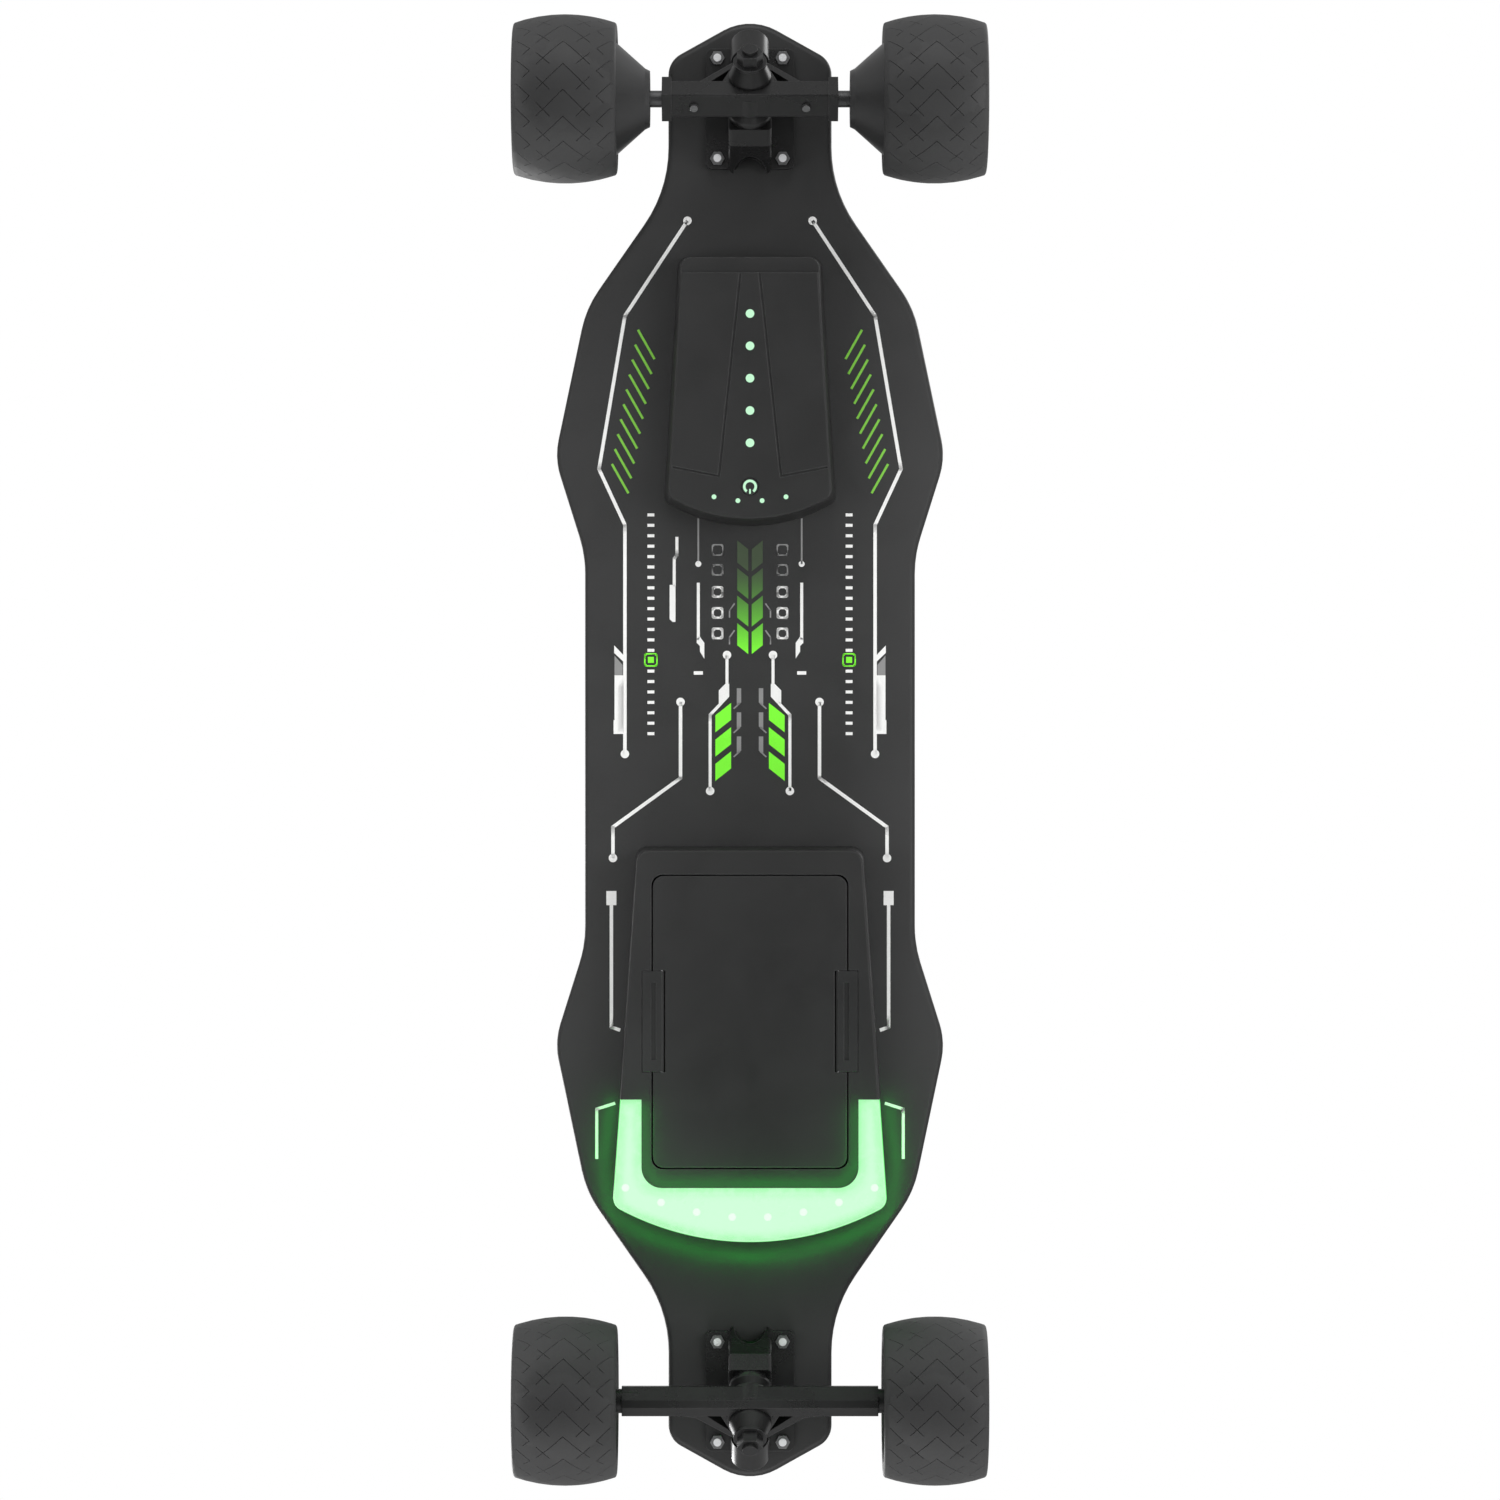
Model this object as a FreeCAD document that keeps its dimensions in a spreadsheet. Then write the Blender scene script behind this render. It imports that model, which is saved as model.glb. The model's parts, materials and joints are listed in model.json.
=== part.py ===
import FreeCAD, Part
import math
import os
import re
import Sketcher

from FreeCAD import Placement, Rotation, Vector

# An electric longboard, in millimetres. X runs across the board, Y along it and Z up.
# The front is towards -Y, the motor wheels are at +Y, and the origin is on the ground
# under the middle of the deck.

SIZES = {
    # deck: the corner points of its outline are rounded by the radius of the same name
    "deck_length": 923.0,
    "deck_thickness": 11.0,
    "deck_height": 112.5,
    "nose_peak": 5.0,
    "nose_half_width": 51.8,
    "nose_shoulder_inset": 23.9,
    "flare_start_inset": 105.8,
    "flare_half_width": 104.2,
    "flare_end_inset": 180.7,
    "wide_half_width": 124.3,
    "wide_inset": 275.9,
    "waist_half_width": 104.8,
    "waist_inset": 337.7,
    "tip_radius": 35.0,
    "nose_radius": 15.0,
    "flare_radius": 86.0,
    "bend_radius": 69.0,
    "wide_radius": 46.0,
    "waist_radius": 78.0,
    "concave_start": 60.0,
    "concave_radius": 320.0,
    "rail_radius": 3.5,
    # grip tape
    "tape_thickness": 1.0,
    "tape_inset": 2.6,
    "tape_gap": 0.5,
    # top plates
    "plate_thickness": 6.0,
    "plate_bevel": 1.2,
    "plate_tip_reach": 48.3,
    "plate_brow_reach": 38.7,
    "plate_brow_half": 25.4,
    "plate_cheek_reach": 8.9,
    "plate_cheek_half": 31.8,
    "plate_step": 1.9,
    "plate_waist_half": 23.5,
    "plate_foot_start": 17.1,
    "plate_foot_half": 34.9,
    "plate_foot_reach": 34.9,
    "plate_toe_reach": 41.3,
    "plate_toe_half": 27.3,
    "plate_hem_reach": 37.5,
    "plate_hem_half": 22.2,
    "badge_radius": 13.4,
    "badge_offset": 6.0,
    "badge_depth": 0.6,
    "screw_reach": 19.4,
    "screw_tail": 16.2,
    "screw_half": 20.4,
    "screw_radius": 1.6,
    # truck bolts
    "bolt_half_width": 20.65,
    "bolt_half_length": 31.75,
    "bolt_radius": 2.5,
    "bolt_clearance": 0.15,
    "bolt_head_radius": 4.3,
    "bolt_head_height": 2.8,
    "counterbore_radius": 5.0,
    "counterbore_depth": 3.6,
    "bolt_socket_radius": 1.6,
    "bolt_socket_depth": 1.6,
    "nut_flats": 8.0,
    "nut_height": 4.0,
    "bolt_end": 1.5,
    # trucks
    "truck_inset": 55.3,
    "steer_tilt": 45.0,
    "base_half_width": 28.0,
    "base_half_length": 38.0,
    "base_thickness": 7.3,
    "base_corner": 4.0,
    "boss_half_width": 13.5,
    "boss_inner_foot": 41.0,
    "boss_outer_foot": 10.0,
    "boss_chin_reach": 27.5,
    "boss_chin_height": 71.0,
    "boss_round": 3.0,
    "housing_radius": 12.0,
    "housing_floor": 4.0,
    "web_half_width": 9.0,
    "web_start": 16.0,
    "cup_wall": 2.8,
    "cup_floor": 2.0,
    "pivot_radius": 6.0,
    "pivot_gap": 0.08,
    "pivot_reach": 49.0,
    "pivot_bite": 12.0,
    "ring_offset": 10.0,
    "ring_radius": 14.5,
    "ring_bore": 6.9,
    "ring_half": 8.0,
    "bulge_offset": 5.0,
    "bulge_radius": 13.3,
    "bushing_radius": 13.2,
    "bushing_waist": 10.6,
    "bushing_length": 12.0,
    "cone_end_radius": 9.6,
    "bushing_bore_gap": 0.1,
    "bushing_seat_gap": 0.3,
    "cut_past": 1.0,
    "cut_far": 5.0,
    "cup_lead": 20.0,
    "nut_room_depth": 25.0,
    "nut_room_share": 0.75,
    "bolt_dome_share": 0.6,
    "web_inset": 2.0,
    "web_bite": 3.0,
    "bushing_lip": 2.0,
    "bushing_foot": 3.0,
    "nose_root": 7.0,
    "window_lead": 6.0,
    "shaft_root_gap": 8.0,
    "shaft_end_gap": 1.0,
    "bearing_end_gap": 0.5,
    "core_bore_gap": 2.0,
    "bell_edge": 1.5,
    "bell_rim": 0.5,
    "cap_groove_gap": 3.0,
    "cap_edge": 1.0,
    "washer_radius": 13.0,
    "small_washer_radius": 10.5,
    "washer_thickness": 1.8,
    "kingpin_radius": 4.75,
    "kingpin_head_flats": 14.0,
    "kingpin_head_height": 6.0,
    "kingpin_head_room": 10.5,
    "kingpin_grip": 14.0,
    "kingpin_end": 2.5,
    "kingpin_nut_flats": 14.0,
    "kingpin_nut_height": 7.5,
    # hangers
    "beam_half_depth": 7.5,
    "beam_half_height": 9.0,
    "beam_bevel": 1.0,
    "rear_beam_half": 55.0,
    "rear_flange_length": 6.0,
    "rear_flange_proud": 1.5,
    "front_beam_half": 80.0,
    "front_beam_bevel": 3.6,
    "front_sleeve_radius": 7.6,
    "yoke_half_thickness": 3.6,
    "rear_yoke_half": 38.0,
    "front_yoke_half": 60.0,
    "yoke_knee_half": 34.0,
    "yoke_knee_reach": 12.5,
    "yoke_nose_half": 6.5,
    "yoke_nose_reach": 36.0,
    "window_base_half": 27.5,
    "window_ring_half": 18.5,
    "window_base_reach": 8.6,
    "window_tip_half": 12.0,
    "window_tip_reach": 26.0,
    "set_screw_radius": 2.5,
    "set_screw_proud": 2.4,
    "set_screw_place": 35.0,
    # wheels
    "wheel_radius": 52.5,
    "wheel_width": 64.6,
    "wheel_edge_radius": 47.0,
    "wheel_shoulder": 2.5,
    "wheel_place": 115.2,
    "tyre_bore": 35.0,
    "tyre_lip": 38.0,
    "tyre_lip_depth": 2.0,
    "core_face_depth": 4.5,
    "core_back_depth": 6.0,
    "core_rim": 5.0,
    "core_web": 10.0,
    "core_web_depth": 8.0,
    "core_hub_radius": 14.0,
    "core_hub_reach": 22.0,
    "spoke_inner": 15.8,
    "spoke_outer": 28.2,
    "spoke_inner_half": 4.6,
    "spoke_outer_half": 9.9,
    "spoke_round": 3.0,
    "spoke_count": 6,
    "bearing_radius": 11.0,
    "bearing_width": 7.0,
    "spacer_radius": 5.6,
    "axle_radius": 4.0,
    "axle_gap": 0.05,
    "axle_end": 31.0,
    "axle_nut_flats": 13.0,
    "axle_nut_height": 6.5,
    "axle_nut_gap": 0.4,
    # hub motors
    "can_thickness": 2.0,
    "can_back_depth": 2.0,
    "can_front_depth": 8.0,
    "magnet_thickness": 1.8,
    "magnet_count": 14,
    "magnet_angle": 20.0,
    "magnet_length": 34.0,
    "air_gap": 0.7,
    "stator_length": 32.0,
    "stator_core": 17.0,
    "tooth_count": 12,
    "tooth_width": 6.0,
    "tooth_tip": 3.0,
    "tooth_tip_angle": 22.0,
    "shaft_radius": 5.25,
    "bell_length": 20.5,
    "bell_small_radius": 19.0,
    "bell_lip": 3.0,
    "bell_wall": 3.0,
    "bell_bore": 6.6,
    "motor_bearing_radius": 12.0,
    "motor_bearing_width": 6.0,
    "cap_depth": 3.5,
    "cap_ring_width": 1.4,
    "cap_ring_depth": 1.0,
    "wheel_badge_radius": 25.0,
    "wheel_badge_depth": 0.8,
    # controller box
    "control_depth": 37.5,
    "control_rear": 312.4,
    "control_rear_half": 45.4,
    "control_front": 158.0,
    "control_front_half": 54.6,
    "control_nose": 142.2,
    "control_draft": 4.5,
    "control_corner": 7.0,
    "box_wall": 2.8,
    "box_edge": 1.6,
    "step_depth": 3.2,
    "step_length": 9.5,
    "spine_width": 1.5,
    "spine_depth": 0.9,
    "spine_start": 303.5,
    "spine_start_half": 5.6,
    "spine_end": 172.0,
    "spine_end_half": 19.5,
    "spine_wing_half": 48.0,
    "spine_wing": 177.5,
    "light_radius": 2.7,
    "light_first": 192.9,
    "light_pitch": 20.3,
    "light_count": 5,
    "dot_radius": 1.5,
    "dot_line": 156.6,
    "dot_half_inner": 7.6,
    "dot_half_outer": 22.6,
    "dot_rise": 2.4,
    "light_proud": 0.4,
    "button_place": 165.4,
    "button_radius": 5.2,
    "button_gap": 0.3,
    "button_proud": 0.6,
    "button_flange": 1.2,
    "board_thickness": 1.6,
    "switch_count": 6,
    "switch_first": 14,
    "switch_pitch": 15,
    "switch_length": 10,
    "switch_inner": 12,
    "switch_outer": 22,
    "switch_height": 4,
    "board_half_width": 34.0,
    "board_start": 184.0,
    "board_end": 296.0,
    "board_lift": 12.0,
    "gasket_thickness": 1.2,
    "gasket_width": 4.0,
    "gasket_height": 4.0,
    # battery box
    "battery_depth": 47.0,
    "battery_rear": -61.0,
    "battery_rear_half": 71.8,
    "battery_front": -286.4,
    "battery_front_half": 87.5,
    "battery_nose": -309.9,
    "battery_draft": 2.0,
    "battery_corner": 8.0,
    "pack_half": 61.0,
    "pack_rear": -78.7,
    "pack_front": -261.9,
    "pack_corner": 7.0,
    "pack_gap": 0.7,
    "pack_height": 43.6,
    "pack_wall": 1.9,
    "pack_edge": 0.8,
    "cell_radius": 9.0,
    "cell_length": 65.0,
    "cell_pitch": 18.6,
    "cell_columns": 5,
    "cell_gap": 1.5,
    "guard_board_length": 128.0,
    "guard_board_width": 30.0,
    "guard_board_shift": 4.0,
    # latches
    "latch_outer": 67.4,
    "latch_pin": 55.2,
    "latch_rear": -138.5,
    "latch_front": -201.5,
    "latch_thickness": 3.6,
    "latch_gap": 0.4,
    "latch_proud": 0.2,
    "latch_groove_width": 3.0,
    "latch_groove_depth": 1.2,
    "latch_groove_inset": 7.0,
    "latch_pin_radius": 0.8,
    "latch_pin_gap": 0.05,
    "latch_pin_grip": 3.0,
    # front light
    "lens_arm_rear": -219.0,
    "lens_inner_half": 68.0,
    "lens_inner_front": -274.4,
    "lens_fillet": 13.0,
    "lens_depth": 10.0,
    "lens_wall": 2.4,
    "lens_board_thickness": 1.6,
    "light_chip_reach": 78.0,
    "light_chip_inset": 17.0,
    "light_chip_radius": 3.0,
    "light_chip_height": 1.2,
    # screws that hold both boxes
    "box_screw_radius": 2.0,
    "control_screw_half": 36.0,
    "battery_screw_half": 50.0,
    "box_screw_inset": 8.5,
    "box_screw_head": 4.0,
    "box_screw_head_height": 2.2,
    "box_screw_length": 22.0,
    "box_boss_radius": 4.6,
}

doc = FreeCAD.newDocument("longboard")
sheet = doc.addObject("Spreadsheet::Sheet", "dims")
for row, (word, number) in enumerate(SIZES.items(), start=1):
    sheet.set("A%d" % row, word)
    sheet.set("B%d" % row, str(number))
    sheet.setAlias("B%d" % row, word)
doc.recompute()

ENDS = {"front": -1, "rear": 1}
SIDES = {"left": 1, "right": -1}
BEYOND = "(2 * deck_length)"


# ---------------------------------------------------------------- helpers

def tie(text):
    """Point each size word of an expression at the sheet."""
    return re.sub(r"[a-z]+(?:_[a-z0-9]+)+", lambda word: "dims." + word.group(0), str(text))


def size(text):
    """The present value of an expression of size words."""
    return float(sheet.evalExpression(str(text)))


def set_sizes(item, **texts):
    for name, text in texts.items():
        item.setExpression(name, tie(text))


def place(item, across="0", along="0", up="0", turn=None):
    """Put an object at a place given by size words."""
    item.Placement = Placement(Vector(0, 0, 0), turn or Rotation())
    for axis, text in zip("xyz", (across, along, up)):
        item.setExpression("Placement.Base." + axis, tie(text))
    return item


def block(name, across, along, up):
    """Box between pairs of limits along X, Y and Z."""
    item = doc.addObject("Part::Box", name)
    set_sizes(item, Length="%s - (%s)" % (across[1], across[0]))
    set_sizes(item, Width="%s - (%s)" % (along[1], along[0]))
    set_sizes(item, Height="%s - (%s)" % (up[1], up[0]))
    return place(item, across[0], along[0], up[0])


def rod(name, radius, start, end, across="0", along="0"):
    """Upright cylinder between two heights."""
    item = doc.addObject("Part::Cylinder", name)
    set_sizes(item, Radius=radius, Height="%s - (%s)" % (end, start))
    return place(item, across, along, start)


def hexagon(name, flats, start, end, across="0", along="0"):
    item = doc.addObject("Part::Prism", name)
    item.Polygon = 6
    set_sizes(item, Circumradius="(%s) / 2 / cos(30)" % flats, Height="%s - (%s)" % (end, start))
    return place(item, across, along, start)


def cut(name, base, tool):
    item = doc.addObject("Part::Cut", name)
    item.Base = base
    item.Tool = tool
    return item


def join(name, items):
    item = doc.addObject("Part::MultiFuse", name)
    item.Shapes = items
    item.Refine = True
    return item


def group(name, items):
    """Several separate solids that share one node."""
    item = doc.addObject("Part::Compound", name)
    item.Links = items
    return item


def tube(name, outer, inner, start, end):
    shell = rod(name + "_outside", outer, start, end)
    bore = rod(name + "_bore", inner, "(%s) - cut_past" % start, "(%s) + cut_past" % end)
    return cut(name, shell, bore)


def origin_plane(body, role):
    return [item for item in body.Origin.OriginFeatures if item.Role == role][0]


def new_sketch(body, name, plane):
    sketch = body.newObject("Sketcher::SketchObject", name)
    sketch.AttachmentSupport = [(origin_plane(body, plane), "")]
    sketch.MapMode = "FlatFace"
    return sketch


def fix_way(sketch, edge, vertex, way, text):
    """Hold one coordinate of a sketch point; the way is DistanceX or DistanceY."""
    number = sketch.addConstraint(Sketcher.Constraint(way, -1, 1, edge, vertex, size(text)))
    sketch.setExpression("Constraints[%d]" % number, tie(text))


def fix_point(sketch, edge, vertex, across, along):
    """Hold one sketch point at a place given by size words."""
    fix_way(sketch, edge, vertex, "DistanceX", across)
    fix_way(sketch, edge, vertex, "DistanceY", along)


def polygon_sketch(body, name, plane, corners):
    """Closed outline through corner points given by size words."""
    sketch = new_sketch(body, name, plane)
    points = [Vector(size(across), size(along), 0) for across, along in corners]
    count = len(points)
    for place_in_row in range(count):
        following = points[(place_in_row + 1) % count]
        sketch.addGeometry(Part.LineSegment(points[place_in_row], following))
    for place_in_row in range(count):
        following = (place_in_row + 1) % count
        sketch.addConstraint(Sketcher.Constraint("Coincident", place_in_row, 2, following, 1))
        fix_point(sketch, place_in_row, 1, *corners[place_in_row])
    return sketch


def pad(body, name, sketch, length, both_ways=False):
    feature = body.newObject("PartDesign::Pad", name)
    feature.Profile = sketch
    feature.SideType = "Symmetric" if both_ways else "One side"
    set_sizes(feature, Length=length)
    return feature


def carve(body, name, sketch, length, reverse=False, both_ways=False):
    """Pocket that must take material away."""
    doc.recompute()
    before = body.Shape.Volume
    feature = body.newObject("PartDesign::Pocket", name)
    feature.Profile = sketch
    feature.SideType = "Symmetric" if both_ways else "One side"
    feature.Reversed = reverse
    set_sizes(feature, Length=length)
    doc.recompute()
    if body.Shape.Volume >= before - 1e-6:
        raise SystemExit("%s removes nothing" % name)
    return feature


def new_prism(name, plane, corners, length, both_ways=False):
    body = doc.addObject("PartDesign::Body", name)
    sketch = polygon_sketch(body, name + "_outline", plane, corners)
    pad(body, name + "_pad", sketch, length, both_ways)
    return body


def edges_where(body, test):
    """Names of the edges whose middle point passes a test."""
    names = []
    for number, edge in enumerate(body.Shape.Edges, start=1):
        middle = edge.valueAt((edge.FirstParameter + edge.LastParameter) / 2)
        if test(edge, middle):
            names.append("Edge%d" % number)
    return names


def is_straight(edge, axis):
    """True for a straight edge that runs along an axis."""
    if len(edge.Vertexes) < 2 or not isinstance(edge.Curve, Part.Line):
        return False
    return abs(edge.Curve.Direction.normalize().dot(axis)) > 0.999


def soften(body, name, kind, amount, test):
    """Fillet or chamfer the body's edges that pass a test."""
    doc.recompute()
    names = edges_where(body, test)
    if not names:
        raise SystemExit("%s finds no edge" % name)
    base = body.Tip
    feature = body.newObject("PartDesign::" + kind, name)
    feature.Base = (base, names)
    set_sizes(feature, **{"Radius" if kind == "Fillet" else "Size": amount})
    doc.recompute()
    return feature


def round_uprights(body, name, radius, corners):
    """Round the upright edges of a prism that stand at the given corners."""
    spots = [(size(across), size(along)) for across, along in corners]

    def at_corner(edge, middle):
        if not is_straight(edge, Vector(0, 0, 1)):
            return False
        return any(math.hypot(middle.x - a, middle.y - b) < 0.05 for a, b in spots)

    return soften(body, name, "Fillet", radius, at_corner)


NODES = []


def finish(item, node):
    """Give a finished sub-part its name."""
    item.Label = node
    NODES.append(item)
    return item


def copy_of(source, node):
    """Another piece of the same make, to be placed by itself."""
    return group(node + "_piece", [source])


def truck_place(end):
    return "%d * (deck_length / 2 - truck_inset)" % end


def put_at_axle(item, end, tilted):
    """Place a truck piece at its axle; a tilted piece is drawn along the steering axis."""
    turn = Rotation(Vector(0, 0, 1), 0 if end > 0 else 180)
    if tilted:
        turn = turn.multiply(Rotation(Vector(1, 0, 0), size("steer_tilt")))
    return place(item, "0", truck_place(end), "wheel_radius", turn)


def put_at_wheel(item, end, side):
    """Place a wheel piece whose own Z points out of the board's side."""
    turn = Rotation(Vector(0, 0, 1), Vector(side, 0, 0))
    return place(item, "%d * wheel_place" % side, truck_place(end), "wheel_radius", turn)


# ---------------------------------------------------------------- deck and grip tape

def deck_corners(inset):
    """Corner points of a quarter of the deck's outline, from the tip to the waist."""
    half = "(deck_length / 2 - %s)" % inset
    return [
        ("tip_radius", "0", half + " + nose_peak"),
        ("nose_radius", "nose_half_width - " + inset, half + " - nose_shoulder_inset"),
        ("flare_radius", "nose_half_width - " + inset, "deck_length / 2 - flare_start_inset"),
        ("bend_radius", "flare_half_width - " + inset, "deck_length / 2 - flare_end_inset"),
        ("wide_radius", "wide_half_width - " + inset, "deck_length / 2 - wide_inset"),
        ("waist_radius", "waist_half_width - " + inset, "deck_length / 2 - waist_inset"),
    ]


def in_quarter(spot, side, end):
    return ("%d * (%s)" % (side, spot[0]), "%d * (%s)" % (end, spot[1]))


def deck_prism(name, inset, height):
    """Upright prism with the deck's outline."""
    quarter = [(across, along) for radius, across, along in deck_corners(inset)]
    flanks = quarter[1:]
    loop = [in_quarter(quarter[0], 1, 1)]
    loop += [in_quarter(spot, 1, 1) for spot in flanks]
    loop += [in_quarter(spot, 1, -1) for spot in reversed(flanks)]
    loop += [in_quarter(quarter[0], 1, -1)]
    loop += [in_quarter(spot, -1, -1) for spot in flanks]
    loop += [in_quarter(spot, -1, 1) for spot in reversed(flanks)]
    body = new_prism(name, "XY_Plane", loop, height)
    for radius, across, along in deck_corners(inset):
        spots = [in_quarter((across, along), side, end) for side in (1, -1) for end in (1, -1)]
        round_uprights(body, name + "_" + radius, radius, spots)
    return body


def trough(body, name, level, radius_text, limit):
    """Cut along the concave: flat in the middle and curling up towards both rails."""
    sketch = new_sketch(body, name + "_section", "XZ_Plane")
    radius = size(radius_text)
    start = size("concave_start")
    floor = size(level)
    reach = size("wide_half_width + cut_far")
    swing = math.asin((reach - start) / radius)
    down = -math.pi / 2
    normal = Vector(0, 0, 1)
    right_circle = Part.Circle(Vector(start, floor + radius, 0), normal, radius)
    left_circle = Part.Circle(Vector(-start, floor + radius, 0), normal, radius)
    right = Part.ArcOfCircle(right_circle, down, down + swing)
    left = Part.ArcOfCircle(left_circle, down - swing, down)
    edge = right.EndPoint.y
    far = size(limit)
    stops = [Vector(reach, edge, 0), Vector(reach, far, 0), Vector(-reach, far, 0),
             Vector(-reach, edge, 0)]
    sketch.addGeometry(Part.LineSegment(Vector(-start, floor, 0), Vector(start, floor, 0)))
    sketch.addGeometry(right)
    for first, second in zip(stops[:-1], stops[1:]):
        sketch.addGeometry(Part.LineSegment(first, second))
    sketch.addGeometry(left)
    for number in range(6):
        following = (number + 1) % 6
        sketch.addConstraint(Sketcher.Constraint("Coincident", number, 2, following, 1))
    fix_point(sketch, 1, 3, "concave_start", "%s + %s" % (level, radius_text))
    fix_point(sketch, 5, 3, "-concave_start", "%s + %s" % (level, radius_text))
    fix_point(sketch, 0, 1, "-concave_start", level)
    fix_point(sketch, 0, 2, "concave_start", level)
    fix_point(sketch, 2, 2, "wide_half_width + cut_far", limit)
    fix_point(sketch, 3, 2, "-wide_half_width - cut_far", limit)
    sketch.addConstraint(Sketcher.Constraint("Vertical", 2))
    sketch.addConstraint(Sketcher.Constraint("Vertical", 4))
    carve(body, name, sketch, BEYOND, both_ways=True)


def bolt_places(end):
    """The four truck bolts of one end."""
    return [("%d * bolt_half_width" % side, "%s + %d * bolt_half_length" % (truck_place(end), row))
            for side in (1, -1) for row in (1, -1)]


def box_screw_places():
    """The screws down through the deck into both boxes, four each."""
    places = []
    for half, rear, front in (("control_screw_half", "control_rear", "control_front"),
                              ("battery_screw_half", "battery_rear", "battery_front")):
        for side in (1, -1):
            places.append(("%d * %s" % (side, half), rear + " - box_screw_inset"))
            places.append(("%d * %s" % (side, half), front + " + box_screw_inset"))
    return places


DECK_TOP = "(deck_height + deck_thickness)"


def make_deck():
    body = deck_prism("deck_body", "0", "deck_thickness + concave_start")
    trough(body, "deck_top", "deck_thickness", "concave_radius",
           "2 * (deck_thickness + concave_start)")
    trough(body, "deck_bottom", "0", "(concave_radius + deck_thickness)", "-concave_start")
    start = size("concave_start")

    def rail(edge, middle):
        along = is_straight(edge, Vector(0, 1, 0)) and abs(abs(middle.x) - start) < 0.1
        return not along and not is_straight(edge, Vector(0, 0, 1))

    soften(body, "deck_rail", "Fillet", "rail_radius", rail)
    place(body, up="deck_height")
    holes = []
    for end in ENDS.values():
        for across, along in bolt_places(end):
            holes.append(rod("deck_bolt_hole", "bolt_radius + bolt_clearance",
                             "deck_height - cut_far", DECK_TOP + " + cut_far", across, along))
    for across, along in box_screw_places():
        holes.append(box_screw("deck_screw_hole", across, along, DECK_TOP + " + tape_thickness"))
    return finish(cut("deck_cut", body, join("deck_holes", holes)), "deck")


def box_screw(name, across, along, top):
    """Countersunk screw shape with its head up to a height and flush with the deck's top."""
    head = doc.addObject("Part::Cone", name + "_sink")
    set_sizes(head, Radius1="box_screw_radius", Radius2="box_screw_head",
              Height="box_screw_head_height")
    place(head, across, along, DECK_TOP + " - box_screw_head_height")
    shank = rod(name + "_shank", "box_screw_radius", DECK_TOP + " - box_screw_length",
                DECK_TOP + " - box_screw_head_height", across, along)
    pieces = [head, shank]
    if top != DECK_TOP:
        pieces.append(rod(name + "_room", "box_screw_head", DECK_TOP, top, across, along))
    return join(name, pieces)


def plate_corners(end, gap):
    """Outline of a top plate, from its tip round to its hem, with a gap added all round."""
    half = [
        ("0", "plate_tip_reach + " + gap),
        ("plate_brow_half + " + gap, "plate_brow_reach + " + gap),
        ("plate_cheek_half + " + gap, "plate_cheek_reach"),
        ("plate_waist_half + " + gap, "plate_cheek_reach - plate_step"),
        ("plate_waist_half + plate_step + " + gap, "-plate_foot_start + " + gap),
        ("plate_foot_half - 2 * plate_step + " + gap, "-plate_foot_start + " + gap),
        ("plate_foot_half + " + gap, "-plate_foot_reach"),
        ("plate_toe_half + " + gap, "-plate_toe_reach - " + gap),
        ("plate_hem_half", "-plate_hem_reach - " + gap),
    ]
    loop = half + [("-(%s)" % across, along) for across, along in reversed(half[1:])]
    return [(across, "%s + %d * (%s)" % (truck_place(end), end, along)) for across, along in loop]


def make_grip_tape():
    body = deck_prism("tape_body", "tape_inset", "deck_thickness + concave_start")
    trough(body, "tape_top", "(deck_thickness + tape_thickness)",
           "(concave_radius - tape_thickness)", "2 * (deck_thickness + concave_start)")
    trough(body, "tape_bottom", "deck_thickness", "concave_radius", "-concave_start")
    place(body, up="deck_height")
    windows = []
    for word, end in ENDS.items():
        window = new_prism("tape_window_" + word, "XY_Plane", plate_corners(end, "tape_gap"),
                           "4 * tape_thickness")
        windows.append(place(window, up=DECK_TOP + " - 2 * tape_thickness"))
    return finish(cut("tape_cut", body, join("tape_windows", windows)), "grip_tape")


def make_top_plate(word, end):
    body = new_prism("plate_body_" + word, "XY_Plane", plate_corners(end, "0"), "plate_thickness")
    top = size("plate_thickness")
    soften(body, "plate_edge_" + word, "Chamfer", "plate_bevel",
           lambda edge, middle: abs(middle.z - top) < 0.01)
    place(body, up=DECK_TOP)
    plate_top = DECK_TOP + " + plate_thickness"
    cuts = []
    for across, along in bolt_places(end):
        cuts.append(rod("plate_hole", "bolt_radius + bolt_clearance", DECK_TOP + " - cut_past",
                        plate_top + " + cut_past", across, along))
        cuts.append(rod("plate_sink", "counterbore_radius", plate_top + " - counterbore_depth",
                        plate_top + " + cut_past", across, along))
    cuts.append(rod("plate_badge_seat", "badge_radius", plate_top + " - badge_depth",
                    plate_top + " + cut_past", "0", badge_place(end)))
    for across, along in plate_screw_places(end):
        cuts.append(rod("plate_screw_seat", "screw_radius", DECK_TOP + " - cut_past",
                        plate_top + " + cut_past", across, along))
    return finish(cut("plate_cut_" + word, body, join("plate_cuts_" + word, cuts)),
                  word + "_top_plate")


def badge_place(end):
    return "%s + %d * badge_offset" % (truck_place(end), end)


def plate_screw_places(end):
    return [("%d * screw_half" % side, "%s + %d * (%s)" % (truck_place(end), end, along))
            for side in (1, -1) for along in ("screw_reach", "-screw_tail")]


def make_plate_screws():
    plate_top = DECK_TOP + " + plate_thickness"
    screws = []
    for end in ENDS.values():
        for across, along in plate_screw_places(end):
            screws.append(rod("plate_screw", "screw_radius", plate_top + " - plate_thickness",
                              plate_top + " - badge_depth", across, along))
    finish(group("plate_screw_group", screws), "plate_screws")


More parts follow.
